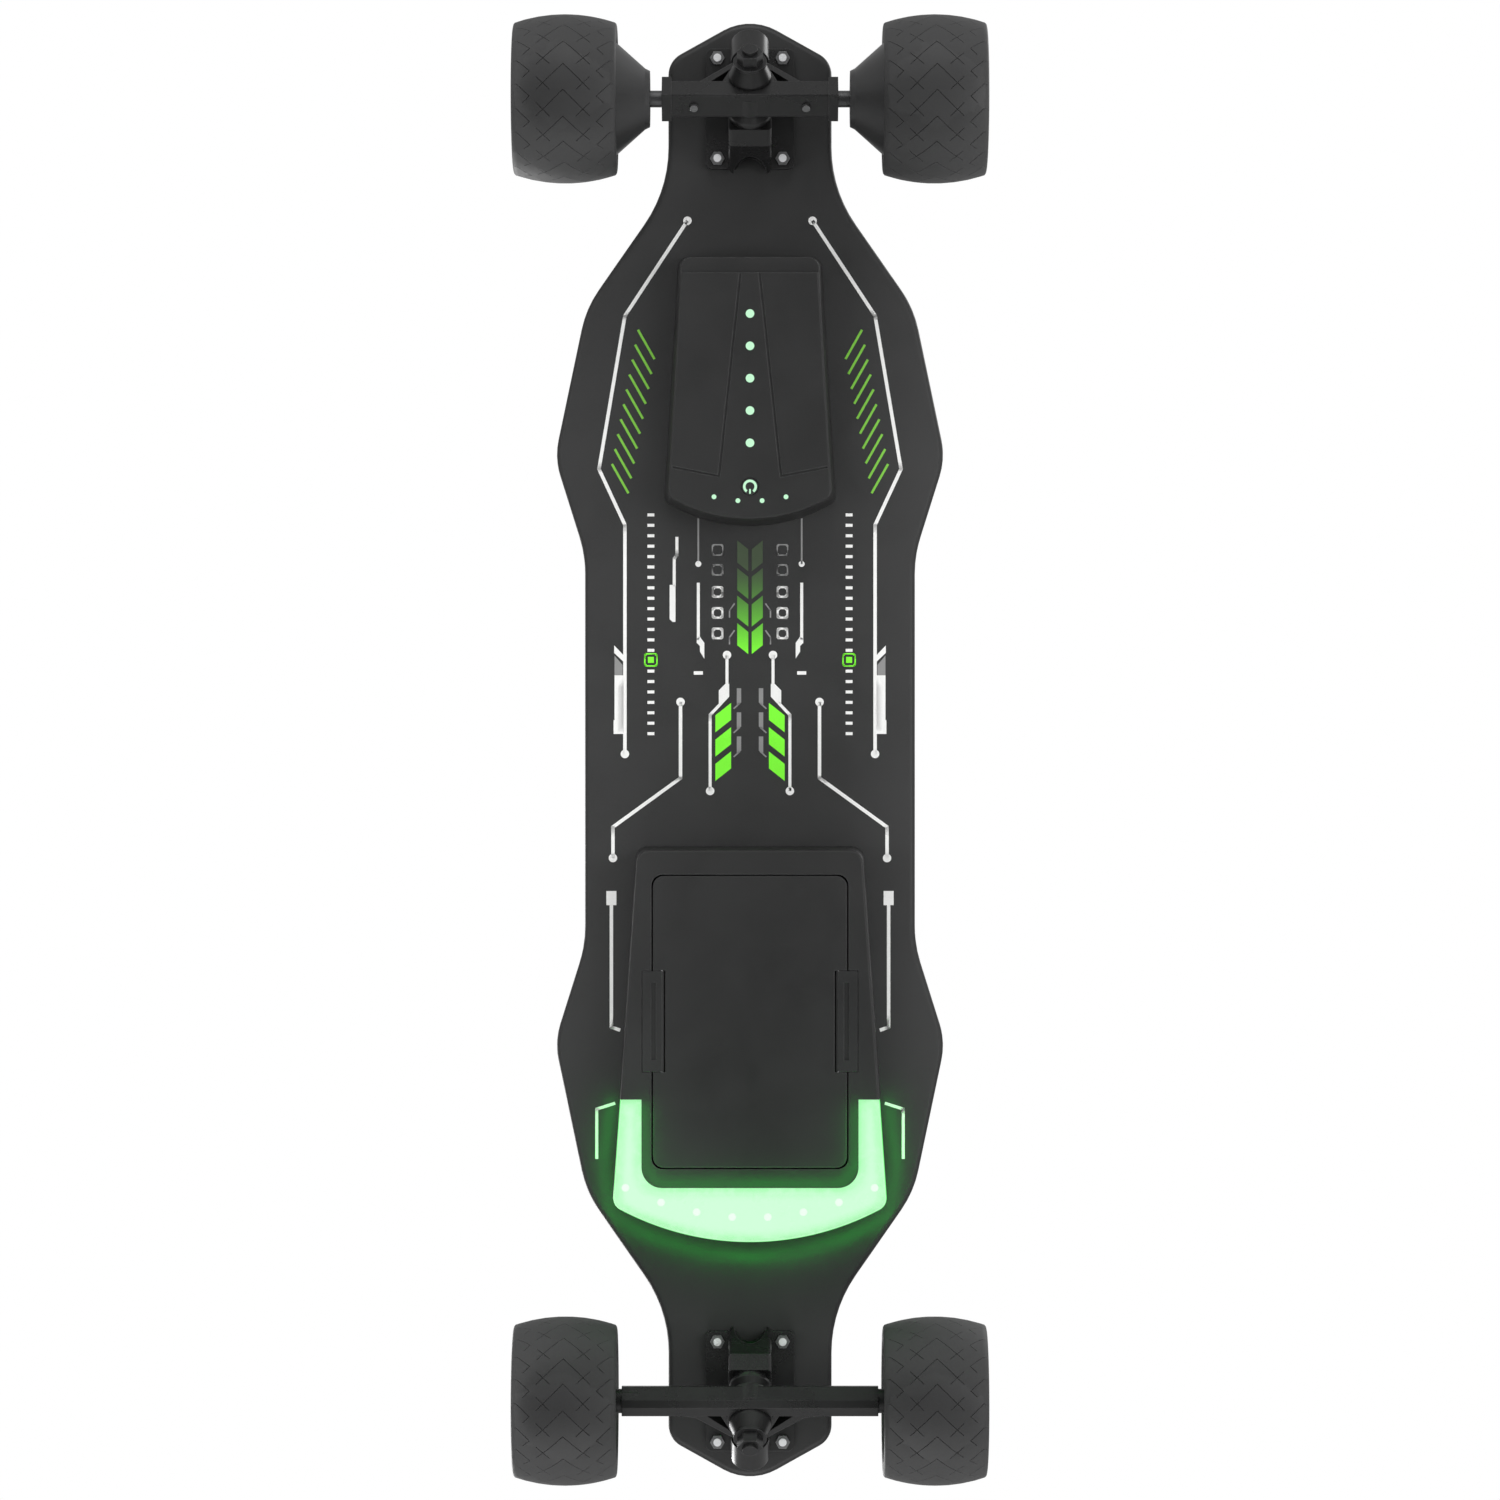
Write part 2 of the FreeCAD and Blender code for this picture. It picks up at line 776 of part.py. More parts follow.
def make_bolts():
    """Domed socket bolts down through plate, deck and truck, with nuts below."""
    seat = DECK_TOP + " + plate_thickness - counterbore_depth"
    low = "deck_height - base_thickness - nut_height - bolt_end"
    bolts = []
    nuts = []
    for end in ENDS.values():
        for across, along in bolt_places(end):
            head = rod("bolt_head", "bolt_head_radius", seat, seat + " + bolt_head_height",
                       across, along)
            dome = doc.addObject("Part::Fillet", "bolt_dome")
            dome.Base = head
            doc.recompute()
            top_edge = [number for number, edge in enumerate(head.Shape.Edges, start=1)
                        if isinstance(edge.Curve, Part.Circle)
                        and edge.CenterOfMass.z > head.Shape.CenterOfMass.z]
            amount = size("bolt_head_height * bolt_dome_share")
            dome.Edges = [(number, amount, amount) for number in top_edge]
            socket = hexagon("bolt_socket", "2 * bolt_socket_radius * cos(30)",
                             seat + " + bolt_head_height - bolt_socket_depth",
                             seat + " + bolt_head_height + cut_past", across, along)
            shank = rod("bolt_shank", "bolt_radius", low, seat, across, along)
            bolts.append(cut("bolt_piece", join("bolt_blank", [dome, shank]), socket))
            nut = hexagon("nut_blank", "nut_flats", low + " + bolt_end",
                          "deck_height - base_thickness", across, along)
            bore = rod("nut_bore", "bolt_radius", low, "deck_height", across, along)
            nuts.append(cut("nut_piece", nut, bore))
    finish(group("bolt_group", bolts), "truck_bolts")
    finish(group("nut_group", nuts), "truck_nuts")
    screws = [box_screw("box_screw", across, along, DECK_TOP)
              for across, along in box_screw_places()]
    finish(group("box_screw_group", screws), "box_screws")


# ---------------------------------------------------------------- trucks
# Upright truck pieces are drawn round the axle's middle with Y outboard and Z up. Tilted ones
# are drawn with Y along the steering axis towards the pivot, and Z along the kingpin towards
# the deck.

ROOF = "(deck_height - wheel_radius)"
LEAN = "cos(steer_tilt)"
RISE = "sin(steer_tilt)"
BOARD_BUSHING_END = "(ring_half + bushing_length)"
SEAT = "(ring_half + bushing_length + washer_thickness)"
HEAD_SEAT = "(ring_half + bushing_length + washer_thickness + kingpin_grip)"
CUP_RADIUS = "(pivot_radius + pivot_gap + cup_wall)"
CUP_START = "(pivot_reach - pivot_bite)"
CUP_END = "(pivot_reach + pivot_gap + cup_floor)"


def upright_spot(along, up):
    """An upright frame's Y and Z for a point of the tilted frame."""
    return ("(%s) * %s - (%s) * %s" % (along, LEAN, up, RISE),
            "(%s) * %s + (%s) * %s" % (along, RISE, up, LEAN))


def tilt(item):
    """Turn a tilted piece into the upright frame."""
    return place(item, turn=Rotation(Vector(1, 0, 0), size("steer_tilt")))


def tilted_rod(name, radius, start, end):
    """Cylinder along the steering axis."""
    item = doc.addObject("Part::Cylinder", name)
    set_sizes(item, Radius=radius, Height="%s - (%s)" % (end, start))
    return place(item, "0", start, "0", Rotation(Vector(0, 0, 1), Vector(0, 1, 0)))


def make_baseplate():
    floor = "(%s - base_thickness)" % ROOF
    flange = new_prism("flange", "XY_Plane", [
        ("-base_half_width", "-base_half_length"), ("base_half_width", "-base_half_length"),
        ("base_half_width", "base_half_length"), ("-base_half_width", "base_half_length")],
        "base_thickness")
    soften(flange, "flange_corner", "Fillet", "base_corner",
           lambda edge, middle: is_straight(edge, Vector(0, 0, 1)))
    place(flange, up=floor)
    boss = new_prism("boss", "YZ_Plane", [
        ("-boss_inner_foot", floor + " + cut_past"),
        ("-boss_chin_reach", "boss_chin_height - wheel_radius"),
        upright_spot("ring_offset - boss_half_width", SEAT),
        upright_spot("ring_offset + boss_half_width", SEAT),
        ("boss_outer_foot", floor + " + cut_past")],
        "2 * boss_half_width", both_ways=True)
    soften(boss, "boss_round_off", "Fillet", "boss_round",
           lambda edge, middle: middle.y < -10 and abs(abs(middle.x) - size("boss_half_width")) < 0.1)
    web = new_prism("web", "YZ_Plane", [
        ("web_start", floor + " + cut_past"),
        upright_spot(CUP_START + " + cut_past", "housing_radius - web_inset"),
        upright_spot(CUP_START + " + web_bite", "0"),
        upright_spot(CUP_END + " + housing_floor - cut_past", "0"),
        ("base_half_length", floor + " + cut_past")],
        "2 * web_half_width", both_ways=True)
    housing = tilt(group("housing_turned", [
        tilted_rod("housing", "housing_radius", CUP_START + " - cut_past", CUP_END + " + housing_floor")]))
    blank = join("base_blank", [flange, boss, web, housing])
    upright_cuts = [rod("base_hole", "bolt_radius + bolt_clearance", floor + " - nut_room_depth - cut_far",
                        ROOF + " + cut_far", "%d * bolt_half_width" % side, "%d * bolt_half_length" % row)
                    for side in (1, -1) for row in (1, -1)]
    spanner = [rod("nut_room", "nut_flats * nut_room_share", floor + " - nut_room_depth", floor,
                   "%d * bolt_half_width" % side, "%d * bolt_half_length" % row)
               for side in (1, -1) for row in (1, -1)]
    tilted_cuts = [
        rod("kingpin_hole", "kingpin_radius", SEAT + " - cut_far", HEAD_SEAT + " + cut_past",
            "0", "ring_offset"),
        rod("head_room", "kingpin_head_room", HEAD_SEAT, HEAD_SEAT + " + wheel_place", "0", "ring_offset"),
        tilted_rod("cup_seat", CUP_RADIUS, CUP_START + " - cup_lead", CUP_END)]
    lid = block("above_base", ("-wheel_place", "wheel_place"), ("-wheel_place", "wheel_place"),
                (ROOF, ROOF + " + wheel_place"))
    tools = join("base_cuts", upright_cuts + spanner + [tilt(join("tilted_cuts", tilted_cuts)), lid])
    return cut("baseplate", blank, tools)


def make_kingpin():
    end = "(%s + kingpin_nut_height + kingpin_end)" % SEAT
    shank = rod("kingpin_shank", "kingpin_radius", "-" + end, HEAD_SEAT, "0", "ring_offset")
    head = hexagon("kingpin_head", "kingpin_head_flats", HEAD_SEAT,
                   HEAD_SEAT + " + kingpin_head_height", "0", "ring_offset")
    return join("kingpin", [shank, head])


def make_kingpin_nut():
    nut = hexagon("kingpin_nut_blank", "kingpin_nut_flats", "-%s - kingpin_nut_height" % SEAT,
                  "-" + SEAT, "0", "ring_offset")
    bore = rod("kingpin_nut_bore", "kingpin_radius", "-%s - cup_lead" % SEAT, "0", "0", "ring_offset")
    return cut("kingpin_nut", nut, bore)


def revolve(name, corners):
    """Solid turned about its own Z axis from corner points of radius and height."""
    body = doc.addObject("PartDesign::Body", name)
    sketch = polygon_sketch(body, name + "_section", "XZ_Plane", corners)
    feature = body.newObject("PartDesign::Revolution", name + "_turn")
    feature.Profile = sketch
    feature.ReferenceAxis = (sketch, ["V_Axis"])
    feature.Angle = 360
    return body


def make_bushings():
    """A barrel bushing on the deck side of the hanger and a cone on the road side."""
    bore = "kingpin_radius + bushing_bore_gap"
    waist = "ring_half + bushing_length / 2"
    barrel = revolve("barrel_bushing", [
        (bore, "ring_half"), ("bushing_radius", "ring_half"),
        ("bushing_radius", "ring_half + bushing_lip"), ("bushing_waist", waist),
        ("bushing_radius", BOARD_BUSHING_END + " - bushing_lip"), ("bushing_radius", BOARD_BUSHING_END),
        (bore, BOARD_BUSHING_END)])
    cone = revolve("cone_bushing", [
        (bore, "-" + BOARD_BUSHING_END), ("cone_end_radius", "-" + BOARD_BUSHING_END),
        ("bushing_radius", "-ring_half - bushing_foot"), ("bushing_radius", "-ring_half"),
        (bore, "-ring_half")])
    place(barrel, "0", "ring_offset")
    place(cone, "0", "ring_offset")
    return group("bushing_pair", [barrel, cone])


def make_washers():
    bore = "kingpin_radius + bushing_bore_gap"
    upper = tube("upper_washer", "washer_radius", bore, BOARD_BUSHING_END, SEAT)
    lower = tube("lower_washer", "small_washer_radius", bore, "-" + SEAT, "-" + BOARD_BUSHING_END)
    place(upper, "0", "ring_offset")
    place(lower, "0", "ring_offset")
    return group("washer_pair", [upper, lower])


def make_pivot_cup():
    shell = tilted_rod("cup_shell", CUP_RADIUS, CUP_START, CUP_END)
    bore = tilted_rod("cup_bore", "pivot_radius + pivot_gap", CUP_START + " - cut_past",
                      "pivot_reach + pivot_gap")
    return cut("pivot_cup", shell, bore)


def yoke_prism(name, corners, half_thickness):
    """Flat rib of the hanger, symmetric about the board's middle."""
    loop = corners + [("-(%s)" % across, along) for across, along in reversed(corners)]
    body = new_prism(name, "XY_Plane", loop, "2 * %s" % half_thickness)
    return place(body, up="-" + half_thickness)


def make_hanger(word):
    """Beam, kingpin ring, two ribs and the pivot nose, cast as one."""
    half = word + "_beam_half"
    beam = block(word + "_beam", ("-" + half, half), ("-beam_half_depth", "beam_half_depth"),
                 ("-beam_half_height", "beam_half_height"))
    bevel = doc.addObject("Part::Chamfer", word + "_beam_bevelled")
    bevel.Base = beam
    doc.recompute()
    amount = size("beam_bevel" if word == "rear" else "front_beam_bevel")
    bevel.Edges = [(number, amount, amount) for number, edge in enumerate(beam.Shape.Edges, start=1)
                   if is_straight(edge, Vector(1, 0, 0))]
    ring = rod(word + "_ring", "ring_radius", "-ring_half", "ring_half", "0", "ring_offset")
    bulge = rod(word + "_bulge", "bulge_radius", "-ring_half / 2", "ring_half", "0", "bulge_offset")
    outline = [("%s_yoke_half" % word, "0")]
    if word == "front":
        outline.append(("front_yoke_half", "beam_half_depth"))
        outline.append(("yoke_knee_half", "yoke_knee_reach"))
    else:
        outline.append(("rear_yoke_half", "beam_half_depth"))
    outline.append(("yoke_nose_half", "yoke_nose_reach"))
    yoke = yoke_prism(word + "_yoke", outline, "yoke_half_thickness")
    nose = tilted_rod(word + "_nose", "pivot_radius", "yoke_nose_reach - nose_root", "pivot_reach")
    solids = [bevel, ring, bulge, yoke, nose]
    cuts = [rod(word + "_ring_bore", "ring_bore", "-ring_half - cut_far", "ring_half + cut_far",
                "0", "ring_offset")]
    for name, start, end in (("_upper_seat", "ring_half", "ring_half + cut_far"),
                             ("_lower_seat", "-ring_half - cut_far", "-ring_half")):
        cuts.append(rod(word + name, "bushing_radius + bushing_seat_gap", start, end,
                        "0", "ring_offset"))
    for side in (1, -1):
        window = new_prism("%s_window%d" % (word, side), "XY_Plane", [
            ("%d * window_base_half" % side, "beam_half_depth + window_base_reach - window_lead"),
            ("%d * window_ring_half" % side, "beam_half_depth + window_base_reach - window_lead"),
            ("%d * window_tip_half" % side, "window_tip_reach")], "4 * yoke_half_thickness")
        cuts.append(place(window, up="-2 * yoke_half_thickness"))
        if word == "rear":
            inner = "rear_beam_half - rear_flange_length"
            spans = sorted([(side, inner), (side, "rear_beam_half")], key=lambda pair: size(
                "%d * (%s)" % pair))
            limits = tuple("%d * (%s)" % pair for pair in spans)
            solids.append(block("rear_flange%d" % side, limits,
                                ("-beam_half_depth - rear_flange_proud",
                                 "beam_half_depth + rear_flange_proud"),
                                ("-beam_half_height - rear_flange_proud",
                                 "beam_half_height + rear_flange_proud")))
            cuts.append(shaft_rod("rear_shaft_bore%d" % side, "shaft_radius", "bulge_radius + shaft_root_gap",
                                  "rear_beam_half + cut_far", side))
            cuts.append(set_screw("rear_screw_bore%d" % side, side))
        else:
            solids.append(shaft_rod("front_sleeve%d" % side, "front_sleeve_radius",
                                    "front_beam_half - 10",
                                    "wheel_place - core_hub_reach - axle_nut_gap", side))
    if word == "front":
        cuts.append(shaft_rod("front_axle_bore", "axle_radius", "-wheel_place", "wheel_place", 1))
    return cut(word + "_hanger", join(word + "_hanger_blank", solids),
               join(word + "_hanger_cuts", cuts))


def shaft_rod(name, radius, start, end, side):
    """Cylinder along the axle's line, on one side of the board."""
    item = doc.addObject("Part::Cylinder", name)
    set_sizes(item, Radius=radius, Height="%s - (%s)" % (end, start))
    turn = Rotation(Vector(0, 0, 1), Vector(side, 0, 0))
    return place(item, "%d * (%s)" % (side, start), "0", "0", turn)


def set_screw(name, side):
    """Grub screw into the beam's inboard face that grips a motor shaft."""
    item = doc.addObject("Part::Cylinder", name)
    set_sizes(item, Radius="set_screw_radius",
              Height="beam_half_depth + set_screw_proud - shaft_radius")
    turn = Rotation(Vector(0, 0, 1), Vector(0, 1, 0))
    return place(item, "%d * set_screw_place" % side, "-beam_half_depth - set_screw_proud", "0", turn)


def make_trucks():
    shared = {
        "baseplate": (make_baseplate(), False),
        "bushings": (make_bushings(), True),
    }
    pairs = {
        "kingpins": make_kingpin(),
        "kingpin_nuts": make_kingpin_nut(),
        "bushing_washers": make_washers(),
        "pivot_cups": make_pivot_cup(),
    }
    for word, end in ENDS.items():
        for part, (source, tilted) in shared.items():
            node = "%s_%s" % (word, part)
            finish(put_at_axle(copy_of(source, node), end, tilted), node)
        finish(put_at_axle(make_hanger(word), end, True), word + "_hanger")
    for part, source in pairs.items():
        pieces = [put_at_axle(copy_of(source, "%s_%s" % (word, part)), end, True)
                  for word, end in ENDS.items()]
        finish(group(part + "_both", pieces), part)
    axle = shaft_rod("axle", "axle_radius", "-wheel_place - axle_end", "wheel_place + axle_end", 1)
    finish(put_at_axle(copy_of(axle, "front_axle"), -1, True), "front_axle")
    nuts = []
    for side in (1, -1):
        nut = hexagon("axle_nut_blank", "axle_nut_flats", "core_hub_reach + axle_nut_gap",
                      "core_hub_reach + axle_nut_gap + axle_nut_height")
        bore = rod("axle_nut_bore", "axle_radius", "0", "2 * core_hub_reach")
        nuts.append(put_at_wheel(cut("axle_nut", nut, bore), -1, side))
    finish(group("axle_nut_group", nuts), "front_axle_nuts")
    shafts = [shaft_rod("motor_shaft%d" % side, "shaft_radius", "bulge_radius + shaft_root_gap",
                        "wheel_place + wheel_width / 2 - can_front_depth - shaft_end_gap", side)
              for side in (1, -1)]
    finish(put_at_axle(group("motor_shaft_pair", shafts), 1, True), "motor_shafts")
    screws = [set_screw("grub_screw%d" % side, side) for side in (1, -1)]
    finish(put_at_axle(group("grub_screw_pair", screws), 1, True), "shaft_set_screws")


# ---------------------------------------------------------------- wheels
# A wheel is drawn round its own middle with Z along the axle, out of the board's side.

HALF = "(wheel_width / 2)"
FACE = "(wheel_width / 2 - core_face_depth)"
BACK = "(wheel_width / 2 - core_back_depth)"


def make_tyre():
    """Wide tyre with a crowned tread, turned from its section."""
    body = doc.addObject("PartDesign::Body", "tyre")
    sketch = new_sketch(body, "tyre_section", "XZ_Plane")
    lip_floor = HALF + " - tyre_lip_depth"
    corners = [
        ("wheel_edge_radius", "-" + HALF), ("tyre_lip", "-" + HALF),
        ("tyre_lip", "-(%s)" % lip_floor), ("tyre_bore", "-(%s)" % lip_floor),
        ("tyre_bore", lip_floor), ("tyre_lip", lip_floor), ("tyre_lip", HALF),
        ("wheel_edge_radius", HALF)]
    points = [Vector(size(across), size(along), 0) for across, along in corners]
    for first, second in zip(points[:-1], points[1:]):
        sketch.addGeometry(Part.LineSegment(first, second))
    crown = Part.Arc(points[-1], Vector(size("wheel_radius"), 0, 0), points[0])
    sketch.addGeometry(crown)
    last = len(points) - 1
    for number in range(last):
        if number:
            sketch.addConstraint(Sketcher.Constraint("Coincident", number - 1, 2, number, 1))
        fix_point(sketch, number, 1, *corners[number])
    fix_point(sketch, last - 1, 2, *corners[last])
    sketch.addConstraint(Sketcher.Constraint("Coincident", last, 1, 0, 1))
    sketch.addConstraint(Sketcher.Constraint("Coincident", last, 2, last - 1, 2))
    rise = "(wheel_radius - wheel_edge_radius)"
    middle = "wheel_radius - (%s ^ 2 + %s ^ 2) / 2 / %s" % (HALF, rise, rise)
    fix_way(sketch, last, 3, "DistanceX", middle)
    feature = body.newObject("PartDesign::Revolution", "tyre_turn")
    feature.Profile = sketch
    feature.ReferenceAxis = (sketch, ["V_Axis"])
    feature.Angle = 360
    edge = size("wheel_edge_radius")
    half = size(HALF)
    soften(body, "tyre_shoulder", "Fillet", "wheel_shoulder",
           lambda bit, spot: isinstance(bit.Curve, Part.Circle)
           and abs(bit.Curve.Radius - edge) < 0.01 and abs(abs(spot.z) - half) < 0.01)
    return body


def make_core():
    """Spoked core pressed into the front tyres, with a bearing seat in each end of its hub."""
    rim = tube("core_rim_ring", "tyre_bore", "tyre_bore - core_rim", "-" + BACK, FACE)
    web_end = "%s - core_web_depth / 4" % FACE
    web = rod("core_disc", "tyre_bore - core_rim / 2", web_end + " - core_web", web_end)
    hub = rod("core_hub", "core_hub_radius", "-core_hub_reach", "core_hub_reach")
    cuts = []
    for number in range(int(size("spoke_count"))):
        window = new_prism("spoke_window%d" % number, "XY_Plane", [
            ("spoke_inner", "-spoke_inner_half"), ("spoke_outer", "-spoke_outer_half"),
            ("spoke_outer", "spoke_outer_half"), ("spoke_inner", "spoke_inner_half")],
            "wheel_width")
        soften(window, "spoke_round%d" % number, "Fillet", "spoke_round",
               lambda edge, middle: is_straight(edge, Vector(0, 0, 1)))
        turn = Rotation(Vector(0, 0, 1), 30 + 360 * number / size("spoke_count"))
        cuts.append(place(window, turn=turn))
    cuts.append(rod("core_bore", "axle_radius + core_bore_gap", "-wheel_width", "wheel_width"))
    for name, start, end in (("outer", "core_hub_reach - bearing_width", "wheel_width"),
                             ("inner", "-wheel_width", "bearing_width - core_hub_reach")):
        cuts.append(rod("bearing_seat_" + name, "bearing_radius", start, end))
    return cut("core", join("core_blank", [rim, web, hub]), join("core_cuts", cuts))


def make_bearings():
    """Two ball bearings with their shields and the spacer tube between them."""
    pieces = []
    for name, start in (("outer", "core_hub_reach - bearing_width"), ("inner", "-core_hub_reach")):
        end = "%s + bearing_width" % start
        pieces.append(tube("bearing_" + name, "bearing_radius", "axle_radius + axle_gap", start, end))
    pieces.append(tube("bearing_spacer", "spacer_radius", "axle_radius + axle_gap",
                       "bearing_width - core_hub_reach", "core_hub_reach - bearing_width"))
    return group("bearing_set", pieces)


CAN_BACK = "(can_back_depth - wheel_width / 2)"
CAN_FRONT = "(wheel_width / 2 - can_front_depth)"
CAN_BORE = "(tyre_bore - can_thickness)"
MAGNET_BORE = "(tyre_bore - can_thickness - magnet_thickness)"
BELL_END = "(-wheel_width / 2 - bell_length)"


def make_can():
    return tube("can", "tyre_bore", CAN_BORE, CAN_BACK, CAN_FRONT)


def make_magnets():
    """Flat magnets glued round the inside of the can."""
    sector = rod("magnet_outside", CAN_BORE, "-magnet_length / 2", "magnet_length / 2")
    sector.setExpression("Angle", tie("magnet_angle"))
    inside = rod("magnet_inside", MAGNET_BORE, "-magnet_length", "magnet_length")
    magnet = cut("magnet", sector, inside)
    count = int(size("magnet_count"))
    pieces = [place(copy_of(magnet, "magnet%d" % number),
                    turn=Rotation(Vector(0, 0, 1), 360 * number / count))
              for number in range(count)]
    return group("magnet_ring", pieces)


def make_stator():
    """Toothed iron core that stays still on the motor shaft."""
    reach = "(%s - air_gap)" % MAGNET_BORE
    core = rod("stator_core_ring", "stator_core", "-stator_length / 2", "stator_length / 2")
    count = int(size("tooth_count"))
    solids = [core]
    for number in range(count):
        turn = Rotation(Vector(0, 0, 1), 360 * number / count)
        tooth = block("tooth%d" % number, ("0", reach + " - tooth_tip"),
                      ("-tooth_width / 2", "tooth_width / 2"),
                      ("-stator_length / 2", "stator_length / 2"))
        solids.append(place(group("tooth_turned%d" % number, [tooth]), turn=turn))
        outside = rod("tip_outside%d" % number, reach, "-stator_length / 2", "stator_length / 2")
        outside.setExpression("Angle", tie("tooth_tip_angle"))
        inside = rod("tip_inside%d" % number, reach + " - tooth_tip", "-stator_length",
                     "stator_length")
        tip = cut("tip%d" % number, outside, inside)
        half = size("tooth_tip_angle") / 2
        solids.append(place(tip, turn=Rotation(Vector(0, 0, 1), 360 * number / count - half)))
    bore = rod("stator_bore", "shaft_radius", "-stator_length", "stator_length")
    return cut("stator", join("stator_blank", solids), bore)


def make_bell():
    """Cone-shaped inner end cover of a hub motor, which turns with the wheel."""
    seat = "(%s + bell_wall + motor_bearing_width)" % BELL_END
    return revolve("bell", [
        ("bell_bore", BELL_END), ("bell_small_radius - bell_edge", BELL_END),
        ("bell_small_radius", BELL_END + " + bell_lip"),
        ("tyre_bore", "-wheel_width / 2 + bell_rim"), ("tyre_bore", CAN_BACK),
        ("%s" % CAN_BORE, CAN_BACK), ("%s" % CAN_BORE, "-wheel_width / 2 + bell_rim"),
        ("bell_small_radius - bell_wall", seat), ("motor_bearing_radius", seat),
        ("motor_bearing_radius", BELL_END + " + bell_wall"),
        ("bell_bore", BELL_END + " + bell_wall")])


def make_cap():
    """Outer end cover of a hub motor, with two turned grooves and a seat for its badge."""
    face = "(wheel_width / 2 - cap_depth)"
    groove = "wheel_badge_radius + cap_groove_gap"
    boss_end = CAN_FRONT + " - motor_bearing_width"
    return revolve("cap", [
        ("0", CAN_FRONT), ("motor_bearing_radius", CAN_FRONT), ("motor_bearing_radius", boss_end),
        ("motor_bearing_radius + bell_wall", boss_end),
        ("motor_bearing_radius + bell_wall", CAN_FRONT), ("tyre_bore", CAN_FRONT),
        ("tyre_bore", face + " - cap_edge"), ("tyre_bore - cap_edge", face),
        (groove + " + cap_ring_width", face),
        (groove + " + cap_ring_width", face + " - cap_ring_depth"),
        (groove, face + " - cap_ring_depth"), (groove, face), ("wheel_badge_radius", face),
        ("wheel_badge_radius", face + " - wheel_badge_depth"),
        ("0", face + " - wheel_badge_depth")])


def make_motor_bearings():
    """One bearing in the bell and one in the cap, running on the motor shaft."""
    inner_start = BELL_END + " + bell_wall"
    bore = "shaft_radius + axle_gap"
    return group("motor_bearing_set", [
        tube("bell_bearing", "motor_bearing_radius", bore, inner_start,
             inner_start + " + motor_bearing_width"),
        tube("cap_bearing", "motor_bearing_radius", bore, CAN_FRONT + " - motor_bearing_width",
             CAN_FRONT + " - bearing_end_gap")])


def make_wheels():
    tyre = make_tyre()
    parts = {
        "front": {"tyre": tyre, "core": make_core(), "bearings": make_bearings()},
        "rear": {
            "tyre": tyre, "motor_can": make_can(), "magnets": make_magnets(),
            "stator": make_stator(), "end_bell": make_bell(), "cap": make_cap(),
            "bearings": make_motor_bearings(),
        },
    }
    for word, end in ENDS.items():
        for label, side in SIDES.items():
            for part, source in parts[word].items():
                node = "%s_%s_%s" % (word, label, part)
                finish(put_at_wheel(copy_of(source, node), end, side), node)


# ---------------------------------------------------------------- boxes under the deck
# Each box has straight sides that widen towards the front, a bowed front end and a slight
# draft, so that its face is a little smaller than its rim at the deck.

BOX_TOP = "(deck_height - gasket_thickness)"
CONTROL_FACE = "(deck_height - control_depth)"
BATTERY_FACE = "(deck_height - battery_depth)"


def box_sketch(body, name, which, inset):
    """Outline of a box's rim, moved in by an inset."""
    rear = "%s_rear - %s" % (which, inset)
    front = "%s_front" % which
    nose = "%s_nose + %s" % (which, inset)
    rear_half = "%s_rear_half - %s" % (which, inset)
    front_half = "%s_front_half - %s" % (which, inset)
    sag = "(%s - (%s))" % (front, nose)
    radius = "(((%s) ^ 2 + %s ^ 2) / 2 / %s)" % (front_half, sag, sag)
    sketch = new_sketch(body, name, "XY_Plane")
    left, right = Vector(-size(front_half), size(front), 0), Vector(size(front_half), size(front), 0)
    top = [Vector(size(rear_half), size(rear), 0), Vector(-size(rear_half), size(rear), 0)]
    sketch.addGeometry(Part.LineSegment(right, top[0]))
    sketch.addGeometry(Part.LineSegment(top[0], top[1]))
    sketch.addGeometry(Part.LineSegment(top[1], left))
    sketch.addGeometry(Part.Arc(left, Vector(0, size(nose), 0), right))
    sketch.addConstraint(Sketcher.Constraint("Coincident", 0, 2, 1, 1))
    sketch.addConstraint(Sketcher.Constraint("Coincident", 1, 2, 2, 1))
    fix_point(sketch, 0, 1, front_half, front)
    fix_point(sketch, 1, 1, rear_half, rear)
    fix_point(sketch, 2, 1, "-(%s)" % rear_half, rear)
    fix_point(sketch, 2, 2, "-(%s)" % front_half, front)
    sketch.addConstraint(Sketcher.Constraint("Coincident", 2, 2, 3, 1))
    sketch.addConstraint(Sketcher.Constraint("Coincident", 0, 1, 3, 2))
    fix_way(sketch, 3, 3, "DistanceY", "%s + %s" % (nose, radius))
    return sketch


def box_body(name, which, inset, top, depth, edge="0"):
    """Drafted solid with a box's outline, from a height down by a depth."""
    body = doc.addObject("PartDesign::Body", name)
    sketch = box_sketch(body, name + "_outline", which, inset)
    feature = pad(body, name + "_pad", sketch, depth)
    feature.Reversed = True
    set_sizes(feature, TaperAngle="-%s_draft" % which)
    doc.recompute()
    rim = body.Shape.BoundBox
    soften(body, name + "_corner", "Fillet", "%s_corner" % which,
           lambda bit, middle: bit.BoundBox.ZLength > rim.ZLength * 0.9)
    if edge != "0":
        soften(body, name + "_edge", "Fillet", edge,
               lambda bit, middle: abs(middle.z - rim.ZMin) < 0.01 and bit.BoundBox.ZLength < 0.01)
    return place(body, up=top)


